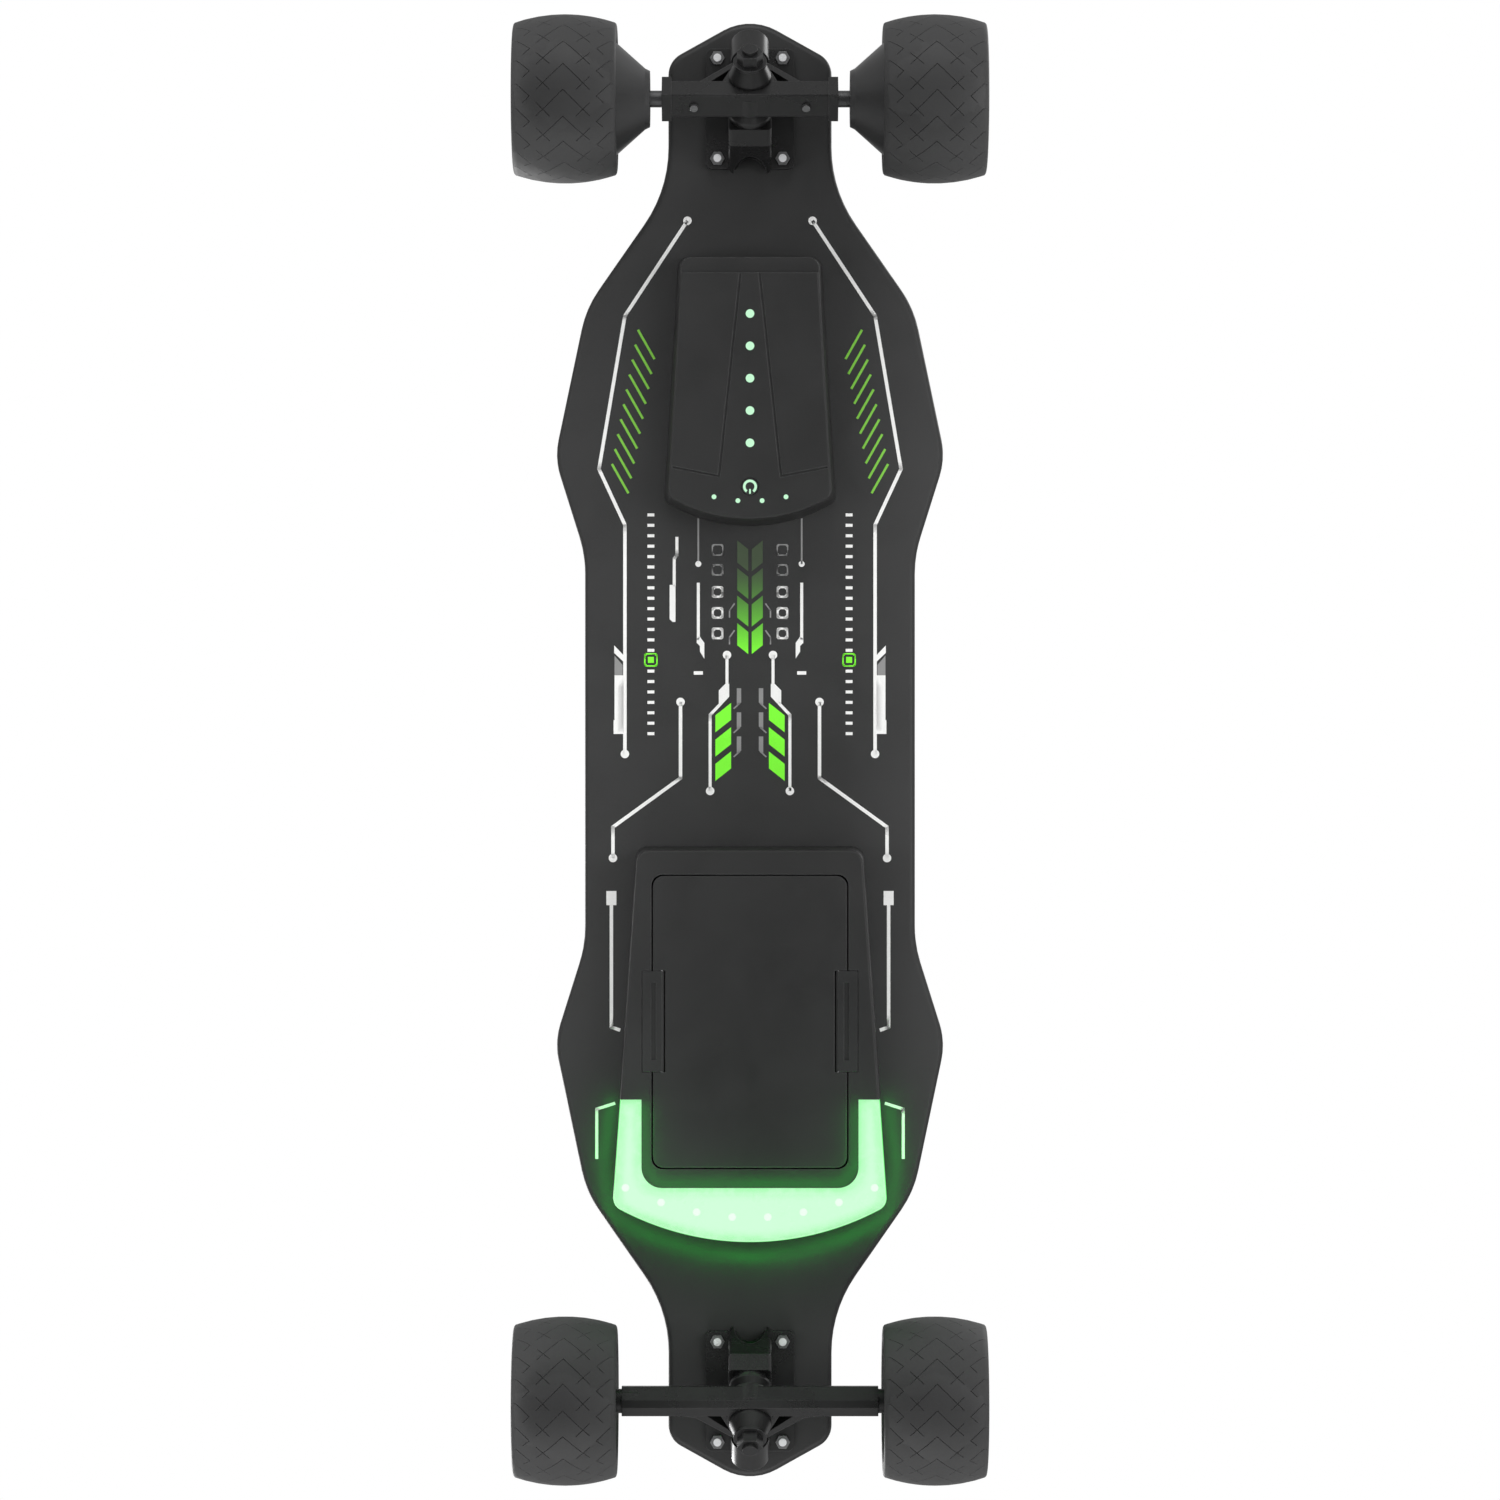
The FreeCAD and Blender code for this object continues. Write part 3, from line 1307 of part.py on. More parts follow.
def strip(name, start, end, face):
    """Narrow groove in a box's face between two points."""
    across, along = ["(%s) - (%s)" % (end[axis], start[axis]) for axis in (0, 1)]
    item = doc.addObject("Part::Box", name)
    length = "sqrt((%s) ^ 2 + (%s) ^ 2)" % (across, along)
    set_sizes(item, Length=length + " + spine_width", Width="spine_width",
              Height="cut_past + spine_depth")
    angle = math.atan2(size(along), size(across))
    turned = place(group(name + "_turned", [place(item, "-spine_width / 2", "-spine_width / 2")]),
                   start[0], start[1], face + " - cut_past",
                   Rotation(Vector(0, 0, 1), math.degrees(angle)))
    return turned


def spine_grooves():
    """Panel line round the raised middle of the controller box, open towards the front."""
    grooves = []
    for side in (1, -1):
        start = ("%d * spine_start_half" % side, "spine_start")
        end = ("%d * spine_end_half" % side, "spine_end")
        wing = ("%d * spine_wing_half" % side, "spine_wing")
        grooves.append(strip("spine_long", start, end, CONTROL_FACE))
        grooves.append(strip("spine_wing", end, wing, CONTROL_FACE))
    grooves.append(strip("spine_top", ("-spine_start_half", "spine_start"),
                         ("spine_start_half", "spine_start"), CONTROL_FACE))
    return grooves


def row_light_places():
    """Places of the charge lights along the box, from the button end."""
    return ["light_first + %d * light_pitch" % number for number in range(int(size("light_count")))]


def dot_places():
    """Places of the small lights that follow the box's bowed front end."""
    return [("%d * dot_half_%s" % (side, which), "dot_line" + rise)
            for side in (1, -1) for which, rise in (("inner", ""), ("outer", " + dot_rise"))]


def bosses(which, half, rear_foot, front_foot):
    """Posts inside a box that its screws bite into."""
    posts = []
    for side in (1, -1):
        for along, foot in ((which + "_rear - box_screw_inset", rear_foot),
                            (which + "_front + box_screw_inset", front_foot)):
            posts.append(rod(which + "_post", "box_boss_radius", foot, BOX_TOP,
                             "%d * %s" % (side, half), along))
    return posts


def screw_bores(which, half):
    bores = []
    for side in (1, -1):
        for along in (which + "_rear - box_screw_inset", which + "_front + box_screw_inset"):
            bores.append(rod(which + "_bore", "box_screw_radius", DECK_TOP + " - box_screw_length",
                             BOX_TOP + " + cut_far", "%d * %s" % (side, half), along))
    return bores


def cavity_inset(which):
    return "(box_wall + %s_depth * tan(%s_draft))" % (which, which)


def make_controller_box():
    outer = box_body("control_outer", "control", "0", BOX_TOP, "control_depth - gasket_thickness",
                     "box_edge")
    cavity = box_body("control_cavity", "control", cavity_inset("control"), BOX_TOP + " + cut_past",
                      "control_depth - gasket_thickness - box_wall - step_depth + cut_past")
    shell = cut("control_hollow", outer, cavity)
    cuts = spine_grooves()
    cuts.append(block("control_step", ("-control_front_half", "control_front_half"),
                      ("control_rear - control_depth * tan(control_draft) - step_length",
                       "control_rear + cut_far"),
                       (CONTROL_FACE + " - cut_far", CONTROL_FACE + " + step_depth")))
    floor = CONTROL_FACE + " + box_wall + step_depth"
    for along in row_light_places():
        cuts.append(rod("light_hole", "light_radius", CONTROL_FACE + " - cut_past", floor + " + cut_past",
                        "0", along))
    for across, along in dot_places():
        cuts.append(rod("dot_hole", "dot_radius", CONTROL_FACE + " - cut_past", floor + " + cut_past",
                        across, along))
    cuts.append(rod("button_hole", "button_radius + button_gap", CONTROL_FACE + " - cut_past",
                    floor + " + cut_past", "0", "button_place"))
    cuts += screw_bores("control", "control_screw_half")
    foot = CONTROL_FACE + " + box_wall"
    posts = bosses("control", "control_screw_half", foot, foot)
    box = join("control_blank", [shell] + posts)
    finish(cut("control_box_cut", box, join("control_cuts", cuts)), "controller_box")

    lights = [rod("row_light", "light_radius", CONTROL_FACE + " - light_proud", floor, "0", along)
              for along in row_light_places()]
    finish(group("row_light_group", lights), "charge_lights")
    dots = [rod("dot_light", "dot_radius", CONTROL_FACE + " - light_proud / 2", floor,
                across, along) for across, along in dot_places()]
    finish(group("dot_light_group", dots), "mode_lights")
    cap = rod("button_cap", "button_radius", CONTROL_FACE + " - button_proud",
              floor + " + button_flange", "0", "button_place")
    flange = rod("button_brim", "button_radius + 2 * button_flange", floor,
                 floor + " + button_flange", "0", "button_place")
    finish(join("button", [cap, flange]), "power_button")
    make_controller_board(floor + " + board_lift")


def make_controller_board(up):
    """Circuit board with its row of power switches under an aluminium bar."""
    board = block("circuit_board", ("-board_half_width", "board_half_width"),
                  ("board_start", "board_end"), (up, up + " + board_thickness"))
    finish(board, "controller_board")
    switches = []
    low = up + " + board_thickness"
    for side in (1, -1):
        edges = ["%d * %s" % (side, word) for word in ("switch_inner", "switch_outer")]
        across = edges if side > 0 else edges[::-1]
        for number in range(int(size("switch_count"))):
            start = "board_start + switch_first + %d * switch_pitch" % number
            switches.append(block("switch", across, (start, start + " + switch_length"),
                                  (low, low + " + switch_height")))
    finish(group("switch_group", switches), "power_switches")


def make_gaskets():
    """Soft seals between the boxes and the curved underside of the deck."""
    deck = [item for item in NODES if item.Label == "deck"][0]
    seals = []
    for which in ("control", "battery"):
        outer = box_body(which + "_seal_outer", which, "0", BOX_TOP + " + gasket_height",
                         "gasket_height")
        inner = box_body(which + "_seal_inner", which, "gasket_width",
                         BOX_TOP + " + gasket_height + cut_past", "gasket_height + 2 * cut_past")
        ring = cut(which + "_seal_ring", outer, inner)
        seals.append(cut(which + "_seal", ring, copy_of(deck, which + "_seal_deck")))
    finish(group("seal_group", seals), "box_gaskets")


def pack_prism(name, gap, low, high, radius="pack_corner"):
    """Upright block with the battery pack's rounded outline, grown by a gap."""
    half = "pack_half + %s" % gap
    body = new_prism(name, "XY_Plane", [
        ("-(%s)" % half, "pack_front - (%s)" % gap), (half, "pack_front - (%s)" % gap),
        (half, "pack_rear + %s" % gap), ("-(%s)" % half, "pack_rear + %s" % gap)],
        "(%s) - (%s)" % (high, low))
    soften(body, name + "_corner", "Fillet", radius,
           lambda edge, middle: is_straight(edge, Vector(0, 0, 1)))
    return place(body, up=low)


PACK_TOP = "(deck_height - battery_depth + pack_height)"


def lens_zone(name, inset, low, high):
    """The U-shaped corner of the battery box that the front light takes up."""
    outer = block(name + "_block", ("-battery_front_half - cut_far", "battery_front_half + cut_far"),
                  ("battery_nose - cut_far", "lens_arm_rear - (%s)" % inset), (low, high))
    half = "lens_inner_half + (%s)" % inset
    front = "lens_inner_front - (%s)" % inset
    hole = new_prism(name + "_middle", "XY_Plane", [
        ("-(%s)" % half, front), (half, front),
        (half, "lens_arm_rear + battery_front_half"), ("-(%s)" % half, "lens_arm_rear + battery_front_half")],
        "(%s) - (%s) + 2 * cut_past" % (high, low))
    soften(hole, name + "_fillet", "Fillet", "lens_fillet",
           lambda edge, middle: is_straight(edge, Vector(0, 0, 1)))
    return cut(name, outer, place(hole, up="(%s) - cut_past" % low))


def latch_block(name, side, gap, up):
    """Room that a latch takes up, grown by a gap."""
    low, high = ("latch_pin - latch_thickness / 2 - " + gap, "latch_outer + " + gap)
    limits = (low, high) if side > 0 else ("-(%s)" % high, "-(%s)" % low)
    return block(name, limits, ("latch_front - " + gap, "latch_rear + " + gap), up)


def make_battery_box():
    depth = "battery_depth - gasket_thickness"
    outer = box_body("battery_outer", "battery", "0", BOX_TOP, depth, "box_edge")
    cavity = box_body("battery_cavity", "battery", cavity_inset("battery"), BOX_TOP + " + cut_past",
                      "%s - box_wall + cut_past" % depth)
    lens_top = BATTERY_FACE + " + lens_depth"
    guard = lens_zone("light_guard", "-box_wall", BATTERY_FACE + " - cut_past", lens_top + " + box_wall")
    shell = cut("battery_hollow", outer, cut("battery_room", cavity, guard))
    well_top = PACK_TOP + " + pack_gap"
    wall = pack_prism("pack_wall_outside", "(pack_gap + box_wall)", BATTERY_FACE,
                      BOX_TOP)
    posts = bosses("battery", "battery_screw_half", BATTERY_FACE + " + box_wall / 2",
                   lens_top + " + box_wall / 2")
    box = join("battery_blank", [shell, wall] + posts)
    cuts = [pack_prism("pack_well", "pack_gap", BATTERY_FACE + " - cut_far", well_top),
            lens_zone("light_seat", "0", BATTERY_FACE + " - cut_far", lens_top)]
    cuts += screw_bores("battery", "battery_screw_half")
    for side in (1, -1):
        cuts.append(latch_block("latch_seat%d" % side, side, "latch_gap",
                                (BATTERY_FACE + " - cut_far",
                                 BATTERY_FACE + " + latch_thickness + latch_gap")))
    finish(cut("battery_box_cut", box, join("battery_cuts", cuts)), "battery_box")
    make_front_light(depth, lens_top)


def make_front_light(depth, lens_top):
    """Milky lens that wraps the box's front, with its strip of light chips inside."""
    solid = box_body("lens_outer", "battery", "0", BOX_TOP, depth, "box_edge")
    inner = box_body("lens_inner", "battery", "lens_wall", BOX_TOP, depth + " - lens_wall")
    low = BATTERY_FACE + " - cut_far"
    body = doc.addObject("Part::Common", "lens_body")
    body.Base = solid
    body.Tool = lens_zone("lens_limits", "0", low, lens_top)
    room = doc.addObject("Part::Common", "lens_room")
    room.Base = inner
    room.Tool = lens_zone("lens_room_limits", "lens_wall", low, lens_top + " + cut_far")
    finish(cut("lens_shell", body, room), "light_lens")
    board = doc.addObject("Part::Common", "light_board_body")
    board.Base = copy_of(room, "light_board_room")
    board.Tool = block("light_board_slice", ("-wide_half_width", "wide_half_width"),
                       ("battery_nose - cut_far", "lens_arm_rear"),
                       (lens_top + " - lens_board_thickness", lens_top))
    finish(board, "light_board")
    chips = [rod("chip", "light_chip_radius", lens_top + " - lens_board_thickness - light_chip_height",
                 lens_top + " - lens_board_thickness", across, along)
             for across, along in light_chip_places()]
    finish(group("chip_group", chips), "light_chips")


def light_chip_places():
    """Eight chips along the lens, set back from its bowed front edge by the same amount."""
    places = []
    sag = "(battery_front - battery_nose)"
    for number in (1, 3, 5, 7):
        share = "%d / 7" % number
        across = "(light_chip_reach * %s)" % share
        along = "battery_nose + light_chip_inset + %s * (%s / battery_front_half) ^ 2" % (sag, across)
        places.append((across, along))
        places.append(("-" + across, along))
    return places


def make_battery_pack():
    """Lift-out pack: a case with two latches, its cells and their guard board."""
    case = pack_prism("case_body", "0", BATTERY_FACE, PACK_TOP + " - pack_wall")
    low = size(BATTERY_FACE)
    soften(case, "case_edge", "Fillet", "pack_edge",
           lambda edge, middle: abs(middle.z - low) < 0.01 and edge.BoundBox.ZLength < 0.01)
    room = pack_prism("case_room", "-pack_wall", BATTERY_FACE + " + latch_thickness + 3 * latch_gap",
                      PACK_TOP + " + cut_far", "pack_corner - pack_wall")
    cuts = [room]
    for side in (1, -1):
        cuts.append(latch_block("case_latch_seat%d" % side, side, "latch_gap",
                                (BATTERY_FACE + " - cut_far",
                                 BATTERY_FACE + " + latch_thickness + latch_gap")))
    cuts += latch_pins("case_pin_hole")
    finish(cut("case_cut", case, join("case_cuts", cuts)), "pack_case")
    finish(pack_prism("cover_body", "0", PACK_TOP + " - pack_wall", PACK_TOP), "pack_cover")
    finish(group("latch_pin_pair", latch_pins("latch_pin_piece")), "latch_pins")

    cells = []
    columns = int(size("cell_columns"))
    floor = BATTERY_FACE + " + latch_thickness + 3 * latch_gap + cell_gap / 2"
    middle = "(pack_rear + pack_front) / 2"
    for layer in range(2):
        for column in range(columns):
            for row in (-1, 1):
                cell = doc.addObject("Part::Cylinder", "cell")
                set_sizes(cell, Radius="cell_radius", Height="cell_length")
                start = "%s + %s" % (middle, "cell_gap / 2" if row > 0
                                     else "(-cell_length - cell_gap / 2)")
                cells.append(place(
                    cell, "%s * cell_pitch - guard_board_shift" % (column - (columns - 1) / 2), start,
                    "%s + cell_radius + %d * 2 * cell_radius" % (floor, layer),
                    Rotation(Vector(0, 0, 1), Vector(0, 1, 0))))
    finish(group("cell_group", cells), "battery_cells")
    edge = "cell_columns / 2 * cell_pitch - guard_board_shift + cell_gap"
    finish(block("guard_board", (edge, edge + " + board_thickness"),
                 (middle + " - guard_board_length / 2", middle + " + guard_board_length / 2"),
                 (floor, floor + " + guard_board_width")), "battery_guard_board")


def latch_pins(name):
    pins = []
    for side in (1, -1):
        pin = doc.addObject("Part::Cylinder", name)
        set_sizes(pin, Radius="latch_pin_radius",
                  Height="latch_rear - latch_front + 2 * latch_pin_grip")
        pins.append(place(pin, "%d * latch_pin" % side, "latch_front - latch_pin_grip",
                          BATTERY_FACE + " + latch_thickness / 2",
                          Rotation(Vector(0, 0, 1), Vector(0, 1, 0))))
    return pins


def make_latches():
    """Flip latches with a barrel along the pin and a grooved thumb face."""
    low = BATTERY_FACE + " - latch_proud"
    high = BATTERY_FACE + " + latch_thickness"
    for word, side in SIDES.items():
        limits = ("latch_pin", "latch_outer") if side > 0 else ("-latch_outer", "-latch_pin")
        leaf = block("latch_leaf_" + word, limits, ("latch_front", "latch_rear"), (low, high))
        barrel = doc.addObject("Part::Cylinder", "latch_barrel_" + word)
        set_sizes(barrel, Radius="latch_thickness / 2", Height="latch_rear - latch_front")
        along = Rotation(Vector(0, 0, 1), Vector(0, 1, 0))
        place(barrel, "%d * latch_pin" % side, "latch_front",
              BATTERY_FACE + " + latch_thickness / 2", along)
        bore = doc.addObject("Part::Cylinder", "latch_bore_" + word)
        set_sizes(bore, Radius="latch_pin_radius + latch_pin_gap",
                  Height="latch_rear - latch_front + 2 * cut_far")
        place(bore, "%d * latch_pin" % side, "latch_front - cut_far",
              BATTERY_FACE + " + latch_thickness / 2", along)
        start = "latch_outer - latch_groove_inset - latch_groove_width / 2"
        end = start + " + latch_groove_width"
        limits = (start, end) if side > 0 else ("-(%s)" % end, "-(%s)" % start)
        groove = block("latch_groove_" + word, limits,
                       ("latch_front + latch_groove_inset", "latch_rear - latch_groove_inset"),
                       (low + " - cut_past", low + " + latch_groove_depth"))
        finish(cut("latch_cut_" + word, join("latch_blank_" + word, [leaf, barrel]),
                   join("latch_cuts_" + word, [bore, groove])), word + "_latch")


# ---------------------------------------------------------------- build, check and write

def check_document():
    doc.recompute()
    faults = [item.Name for item in doc.Objects if {"Invalid", "Error"} & set(item.State)]
    if faults:
        raise SystemExit("failed objects: " + ", ".join(faults))
    for item in NODES:
        if item.Shape.isNull() or not item.Shape.isValid() or not item.Shape.Solids:
            raise SystemExit("bad shape: " + item.Label)


make_deck()
make_grip_tape()
for word, end in ENDS.items():
    make_top_plate(word, end)
make_plate_screws()
make_bolts()
make_trucks()
make_wheels()
make_controller_box()
make_battery_box()
make_battery_pack()
make_latches()
make_gaskets()
check_document()

os.makedirs("parts", exist_ok=True)
for item in NODES:
    item.Shape.exportStep("parts/%s.step" % item.Label)
    print("%-24s %2d solids %10.0f mm3" % (item.Label, len(item.Shape.Solids), item.Shape.Volume))
print(len(NODES), "nodes")
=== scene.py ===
import json
import math

import bmesh
import bpy
from mathutils import Matrix, Vector
from mathutils.bvhtree import BVHTree


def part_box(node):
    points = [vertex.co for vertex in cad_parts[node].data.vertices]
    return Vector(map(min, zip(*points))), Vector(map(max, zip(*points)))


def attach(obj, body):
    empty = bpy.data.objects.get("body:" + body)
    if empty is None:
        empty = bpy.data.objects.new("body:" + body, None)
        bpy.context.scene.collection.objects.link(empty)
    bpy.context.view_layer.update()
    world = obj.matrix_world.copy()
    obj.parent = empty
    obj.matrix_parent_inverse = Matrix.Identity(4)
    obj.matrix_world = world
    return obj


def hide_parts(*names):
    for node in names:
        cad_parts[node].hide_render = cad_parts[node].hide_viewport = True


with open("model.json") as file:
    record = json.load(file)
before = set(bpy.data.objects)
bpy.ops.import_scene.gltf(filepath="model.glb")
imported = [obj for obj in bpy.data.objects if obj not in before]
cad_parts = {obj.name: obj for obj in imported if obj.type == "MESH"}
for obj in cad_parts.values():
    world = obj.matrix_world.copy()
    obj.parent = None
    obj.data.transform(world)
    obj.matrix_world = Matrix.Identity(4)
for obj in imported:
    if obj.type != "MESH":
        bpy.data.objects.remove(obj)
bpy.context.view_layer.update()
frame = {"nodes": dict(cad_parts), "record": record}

MM = 0.001
NODES = frame["nodes"]
SLOT_OF = {entry["node"]: entry["material_slot"] for entry in frame["record"]["subparts"]}
SIDES = {"left": 1, "right": -1}


# ---------------------------------------------------------------- node group helpers

def add(tree, kind, values=None, **settings):
    """A shader node with its settings and unlinked input values."""
    made = tree.nodes.new(kind)
    for name, value in settings.items():
        setattr(made, name, value)
    for name, value in (values or {}).items():
        made.inputs[name].default_value = value
    return made


def link(tree, output, target):
    tree.links.new(output, target)


def new_group(name, takes, gives):
    """Empty shader group with named sockets; each entry is a name, a kind and a default."""
    tree = bpy.data.node_groups.new(name, "ShaderNodeTree")
    for label, kind, default in takes:
        socket = tree.interface.new_socket(label, in_out="INPUT", socket_type="NodeSocket" + kind)
        if default is not None:
            socket.default_value = default
    for label, kind in gives:
        tree.interface.new_socket(label, in_out="OUTPUT", socket_type="NodeSocket" + kind)
    return tree, tree.nodes.new("NodeGroupInput"), tree.nodes.new("NodeGroupOutput")


def use_group(tree, group, **values):
    made = tree.nodes.new("ShaderNodeGroup")
    made.node_tree = group
    for name, value in values.items():
        made.inputs[name.replace("_", " ")].default_value = value
    return made


def make_grain_group():
    """Fine moulded or cast grain: a height for bumps and a mask for colour."""
    tree, takes, gives = new_group(
        "moulded grain", [("Scale", "Float", 900.0), ("Roughness", "Float", 0.6)],
        [("Mask", "Float"), ("Height", "Float")])
    place = add(tree, "ShaderNodeTexCoord")
    noise = add(tree, "ShaderNodeTexNoise", {"Detail": 3.0})
    link(tree, place.outputs["Object"], noise.inputs["Vector"])
    link(tree, takes.outputs["Scale"], noise.inputs["Scale"])
    link(tree, takes.outputs["Roughness"], noise.inputs["Roughness"])
    spread = add(tree, "ShaderNodeMapRange", {"From Min": 0.35, "From Max": 0.65})
    link(tree, noise.outputs["Fac"], spread.inputs["Value"])
    link(tree, spread.outputs["Result"], gives.inputs["Mask"])
    link(tree, noise.outputs["Fac"], gives.inputs["Height"])
    return tree


def make_wear_and_highlight_group():
    """Edges: a rounded normal for sharp corners and a mask, broken into patches, where they are
    painted bright: partly rubbed wear, partly painted highlight.
    """
    tree, takes, gives = new_group(
        "rubbed edges with painted highlight", [("Radius", "Float", 0.0008), ("Gain", "Float", 4.0)],
        [("Mask", "Float"), ("Normal", "Vector")])
    rounded = add(tree, "ShaderNodeBevel", samples=4)
    link(tree, takes.outputs["Radius"], rounded.inputs["Radius"])
    true = add(tree, "ShaderNodeNewGeometry")
    turn = add(tree, "ShaderNodeVectorMath", operation="DOT_PRODUCT")
    link(tree, rounded.outputs["Normal"], turn.inputs[0])
    link(tree, true.outputs["True Normal"], turn.inputs[1])
    apart = add(tree, "ShaderNodeMath", operation="SUBTRACT")
    apart.inputs[0].default_value = 1.0
    link(tree, turn.outputs["Value"], apart.inputs[1])
    gain = add(tree, "ShaderNodeMath", operation="MULTIPLY", use_clamp=True)
    link(tree, apart.outputs["Value"], gain.inputs[0])
    link(tree, takes.outputs["Gain"], gain.inputs[1])
    patches = add(tree, "ShaderNodeTexNoise", {"Scale": 160.0, "Detail": 4.0})
    place = add(tree, "ShaderNodeTexCoord")
    link(tree, place.outputs["Object"], patches.inputs["Vector"])
    broken = add(tree, "ShaderNodeMath", operation="MULTIPLY", use_clamp=True)
    link(tree, gain.outputs["Value"], broken.inputs[0])
    lift = add(tree, "ShaderNodeMapRange", {"From Min": 0.3, "From Max": 0.55, "To Min": 0.45})
    link(tree, patches.outputs["Fac"], lift.inputs["Value"])
    link(tree, lift.outputs["Result"], broken.inputs[1])
    link(tree, broken.outputs["Value"], gives.inputs["Mask"])
    link(tree, rounded.outputs["Normal"], gives.inputs["Normal"])
    return tree


def make_smudge_group():
    """Broad, faint patches of handling and dust."""
    tree, takes, gives = new_group("handling smudges", [("Scale", "Float", 22.0)],
                                   [("Mask", "Float")])
    place = add(tree, "ShaderNodeTexCoord")
    noise = add(tree, "ShaderNodeTexNoise", {"Detail": 5.0, "Roughness": 0.6, "Distortion": 0.4})
    link(tree, place.outputs["Object"], noise.inputs["Vector"])
    link(tree, takes.outputs["Scale"], noise.inputs["Scale"])
    spread = add(tree, "ShaderNodeMapRange", {"From Min": 0.35, "From Max": 0.7})
    link(tree, noise.outputs["Fac"], spread.inputs["Value"])
    link(tree, spread.outputs["Result"], gives.inputs["Mask"])
    return tree


GRAIN = make_grain_group()
WEAR_AND_HIGHLIGHT = make_wear_and_highlight_group()
SMUDGE = make_smudge_group()


# ---------------------------------------------------------------- materials

def mix(tree, amount, first, second):
    """Colour mix; each colour is a socket or a plain colour."""
    made = add(tree, "ShaderNodeMix", data_type="RGBA")
    link(tree, amount, made.inputs["Factor"])
    for socket, colour in ((made.inputs["A"], first), (made.inputs["B"], second)):
        if isinstance(colour, tuple):
            socket.default_value = (*colour, 1.0)
        else:
            link(tree, colour, socket)
    return made.outputs["Result"]


def grey(level):
    return (level, level * 1.005, level * 1.02)


LAMP_BODY = 0.1  # share of a lamp's colour that its plastic keeps unlit
POLISH_SPREAD = 0.12  # how much smudges change the roughness


def side_mask(tree, level, steep):
    """Mask that rises from faces that look up or down to faces that stand on edge."""
    place = add(tree, "ShaderNodeTexCoord")
    parts = add(tree, "ShaderNodeSeparateXYZ")
    link(tree, place.outputs["Normal"], parts.inputs["Vector"])
    upright = add(tree, "ShaderNodeMath", operation="ABSOLUTE")
    link(tree, parts.outputs["Z"], upright.inputs[0])
    mask = add(tree, "ShaderNodeMapRange", {"From Min": level, "From Max": steep})
    link(tree, upright.outputs["Value"], mask.inputs["Value"])
    return mask.outputs["Result"]


def surface(name, colour, rough, metallic=0.0, grain=900.0, bump=0.05, depth=0.0002,
            edge_wear_and_highlight=None, radius=0.0006, gain=3.0, patchy=0.25, specular=0.5):
    """A finished material: grain, edges painted brighter (partly rubbed wear, partly painted
    highlight) and faint smudges over one colour.
    """
    material = bpy.data.materials.new(name)
    material.use_nodes = True
    tree = material.node_tree
    shader = tree.nodes["Principled BSDF"]
    shader.inputs["Metallic"].default_value = metallic
    shader.inputs["Specular IOR Level"].default_value = specular
    grains = use_group(tree, GRAIN, Scale=grain)
    edges = use_group(tree, WEAR_AND_HIGHLIGHT, Radius=radius, Gain=gain)
    smudges = use_group(tree, SMUDGE)
    darker = tuple(part * (1.0 - patchy) for part in colour)
    speckle = mix(tree, grains.outputs["Mask"], colour, darker)
    shade = mix(tree, smudges.outputs["Mask"], speckle, colour)
    # The edge colour is partly rubbed wear and partly a painted highlight along the edges.
    if edge_wear_and_highlight:
        shade = mix(tree, edges.outputs["Mask"], shade, edge_wear_and_highlight)
    link(tree, shade, shader.inputs["Base Color"])
    polish = add(tree, "ShaderNodeMapRange", {"To Min": rough - POLISH_SPREAD / 2,
                                              "To Max": rough + POLISH_SPREAD / 2})
    link(tree, smudges.outputs["Mask"], polish.inputs["Value"])
    link(tree, polish.outputs["Result"], shader.inputs["Roughness"])
    lift = add(tree, "ShaderNodeBump", {"Strength": bump, "Distance": depth})
    link(tree, edges.outputs["Normal"], lift.inputs["Normal"])
    link(tree, grains.outputs["Height"], lift.inputs["Height"])
    link(tree, lift.outputs["Normal"], shader.inputs["Normal"])
    return material


def lit(name, colour, edge_colour, side_colour, strength, radius=0.004, gain=2.5):
    """A glowing milky plastic: pale face, greener edges and pure green sides."""
    body = tuple(part * LAMP_BODY for part in colour)
    material = surface(name, body, 0.3, grain=300.0, bump=0.02, radius=radius)
    tree = material.node_tree
    shader = tree.nodes["Principled BSDF"]
    edges = use_group(tree, WEAR_AND_HIGHLIGHT, Radius=radius, Gain=gain)
    face = mix(tree, edges.outputs["Mask"], colour, edge_colour)
    link(tree, mix(tree, side_mask(tree, 0.75, 0.25), face, side_colour),
         shader.inputs["Emission Color"])
    shader.inputs["Emission Strength"].default_value = strength
    return material


def make_deck_material():
    """Moulded deck: matte faces with black rails."""
    material = surface("deck composite", grey(0.019), 0.5, grain=1500.0, bump=0.08,
                       radius=0.0012, edge_wear_and_highlight=grey(0.05), gain=1.0)
    tree = material.node_tree
    shader = tree.nodes["Principled BSDF"]
    old = shader.inputs["Base Color"].links[0].from_socket
    link(tree, mix(tree, side_mask(tree, 0.95, 0.6), old, grey(0.004)),
         shader.inputs["Base Color"])
    return material


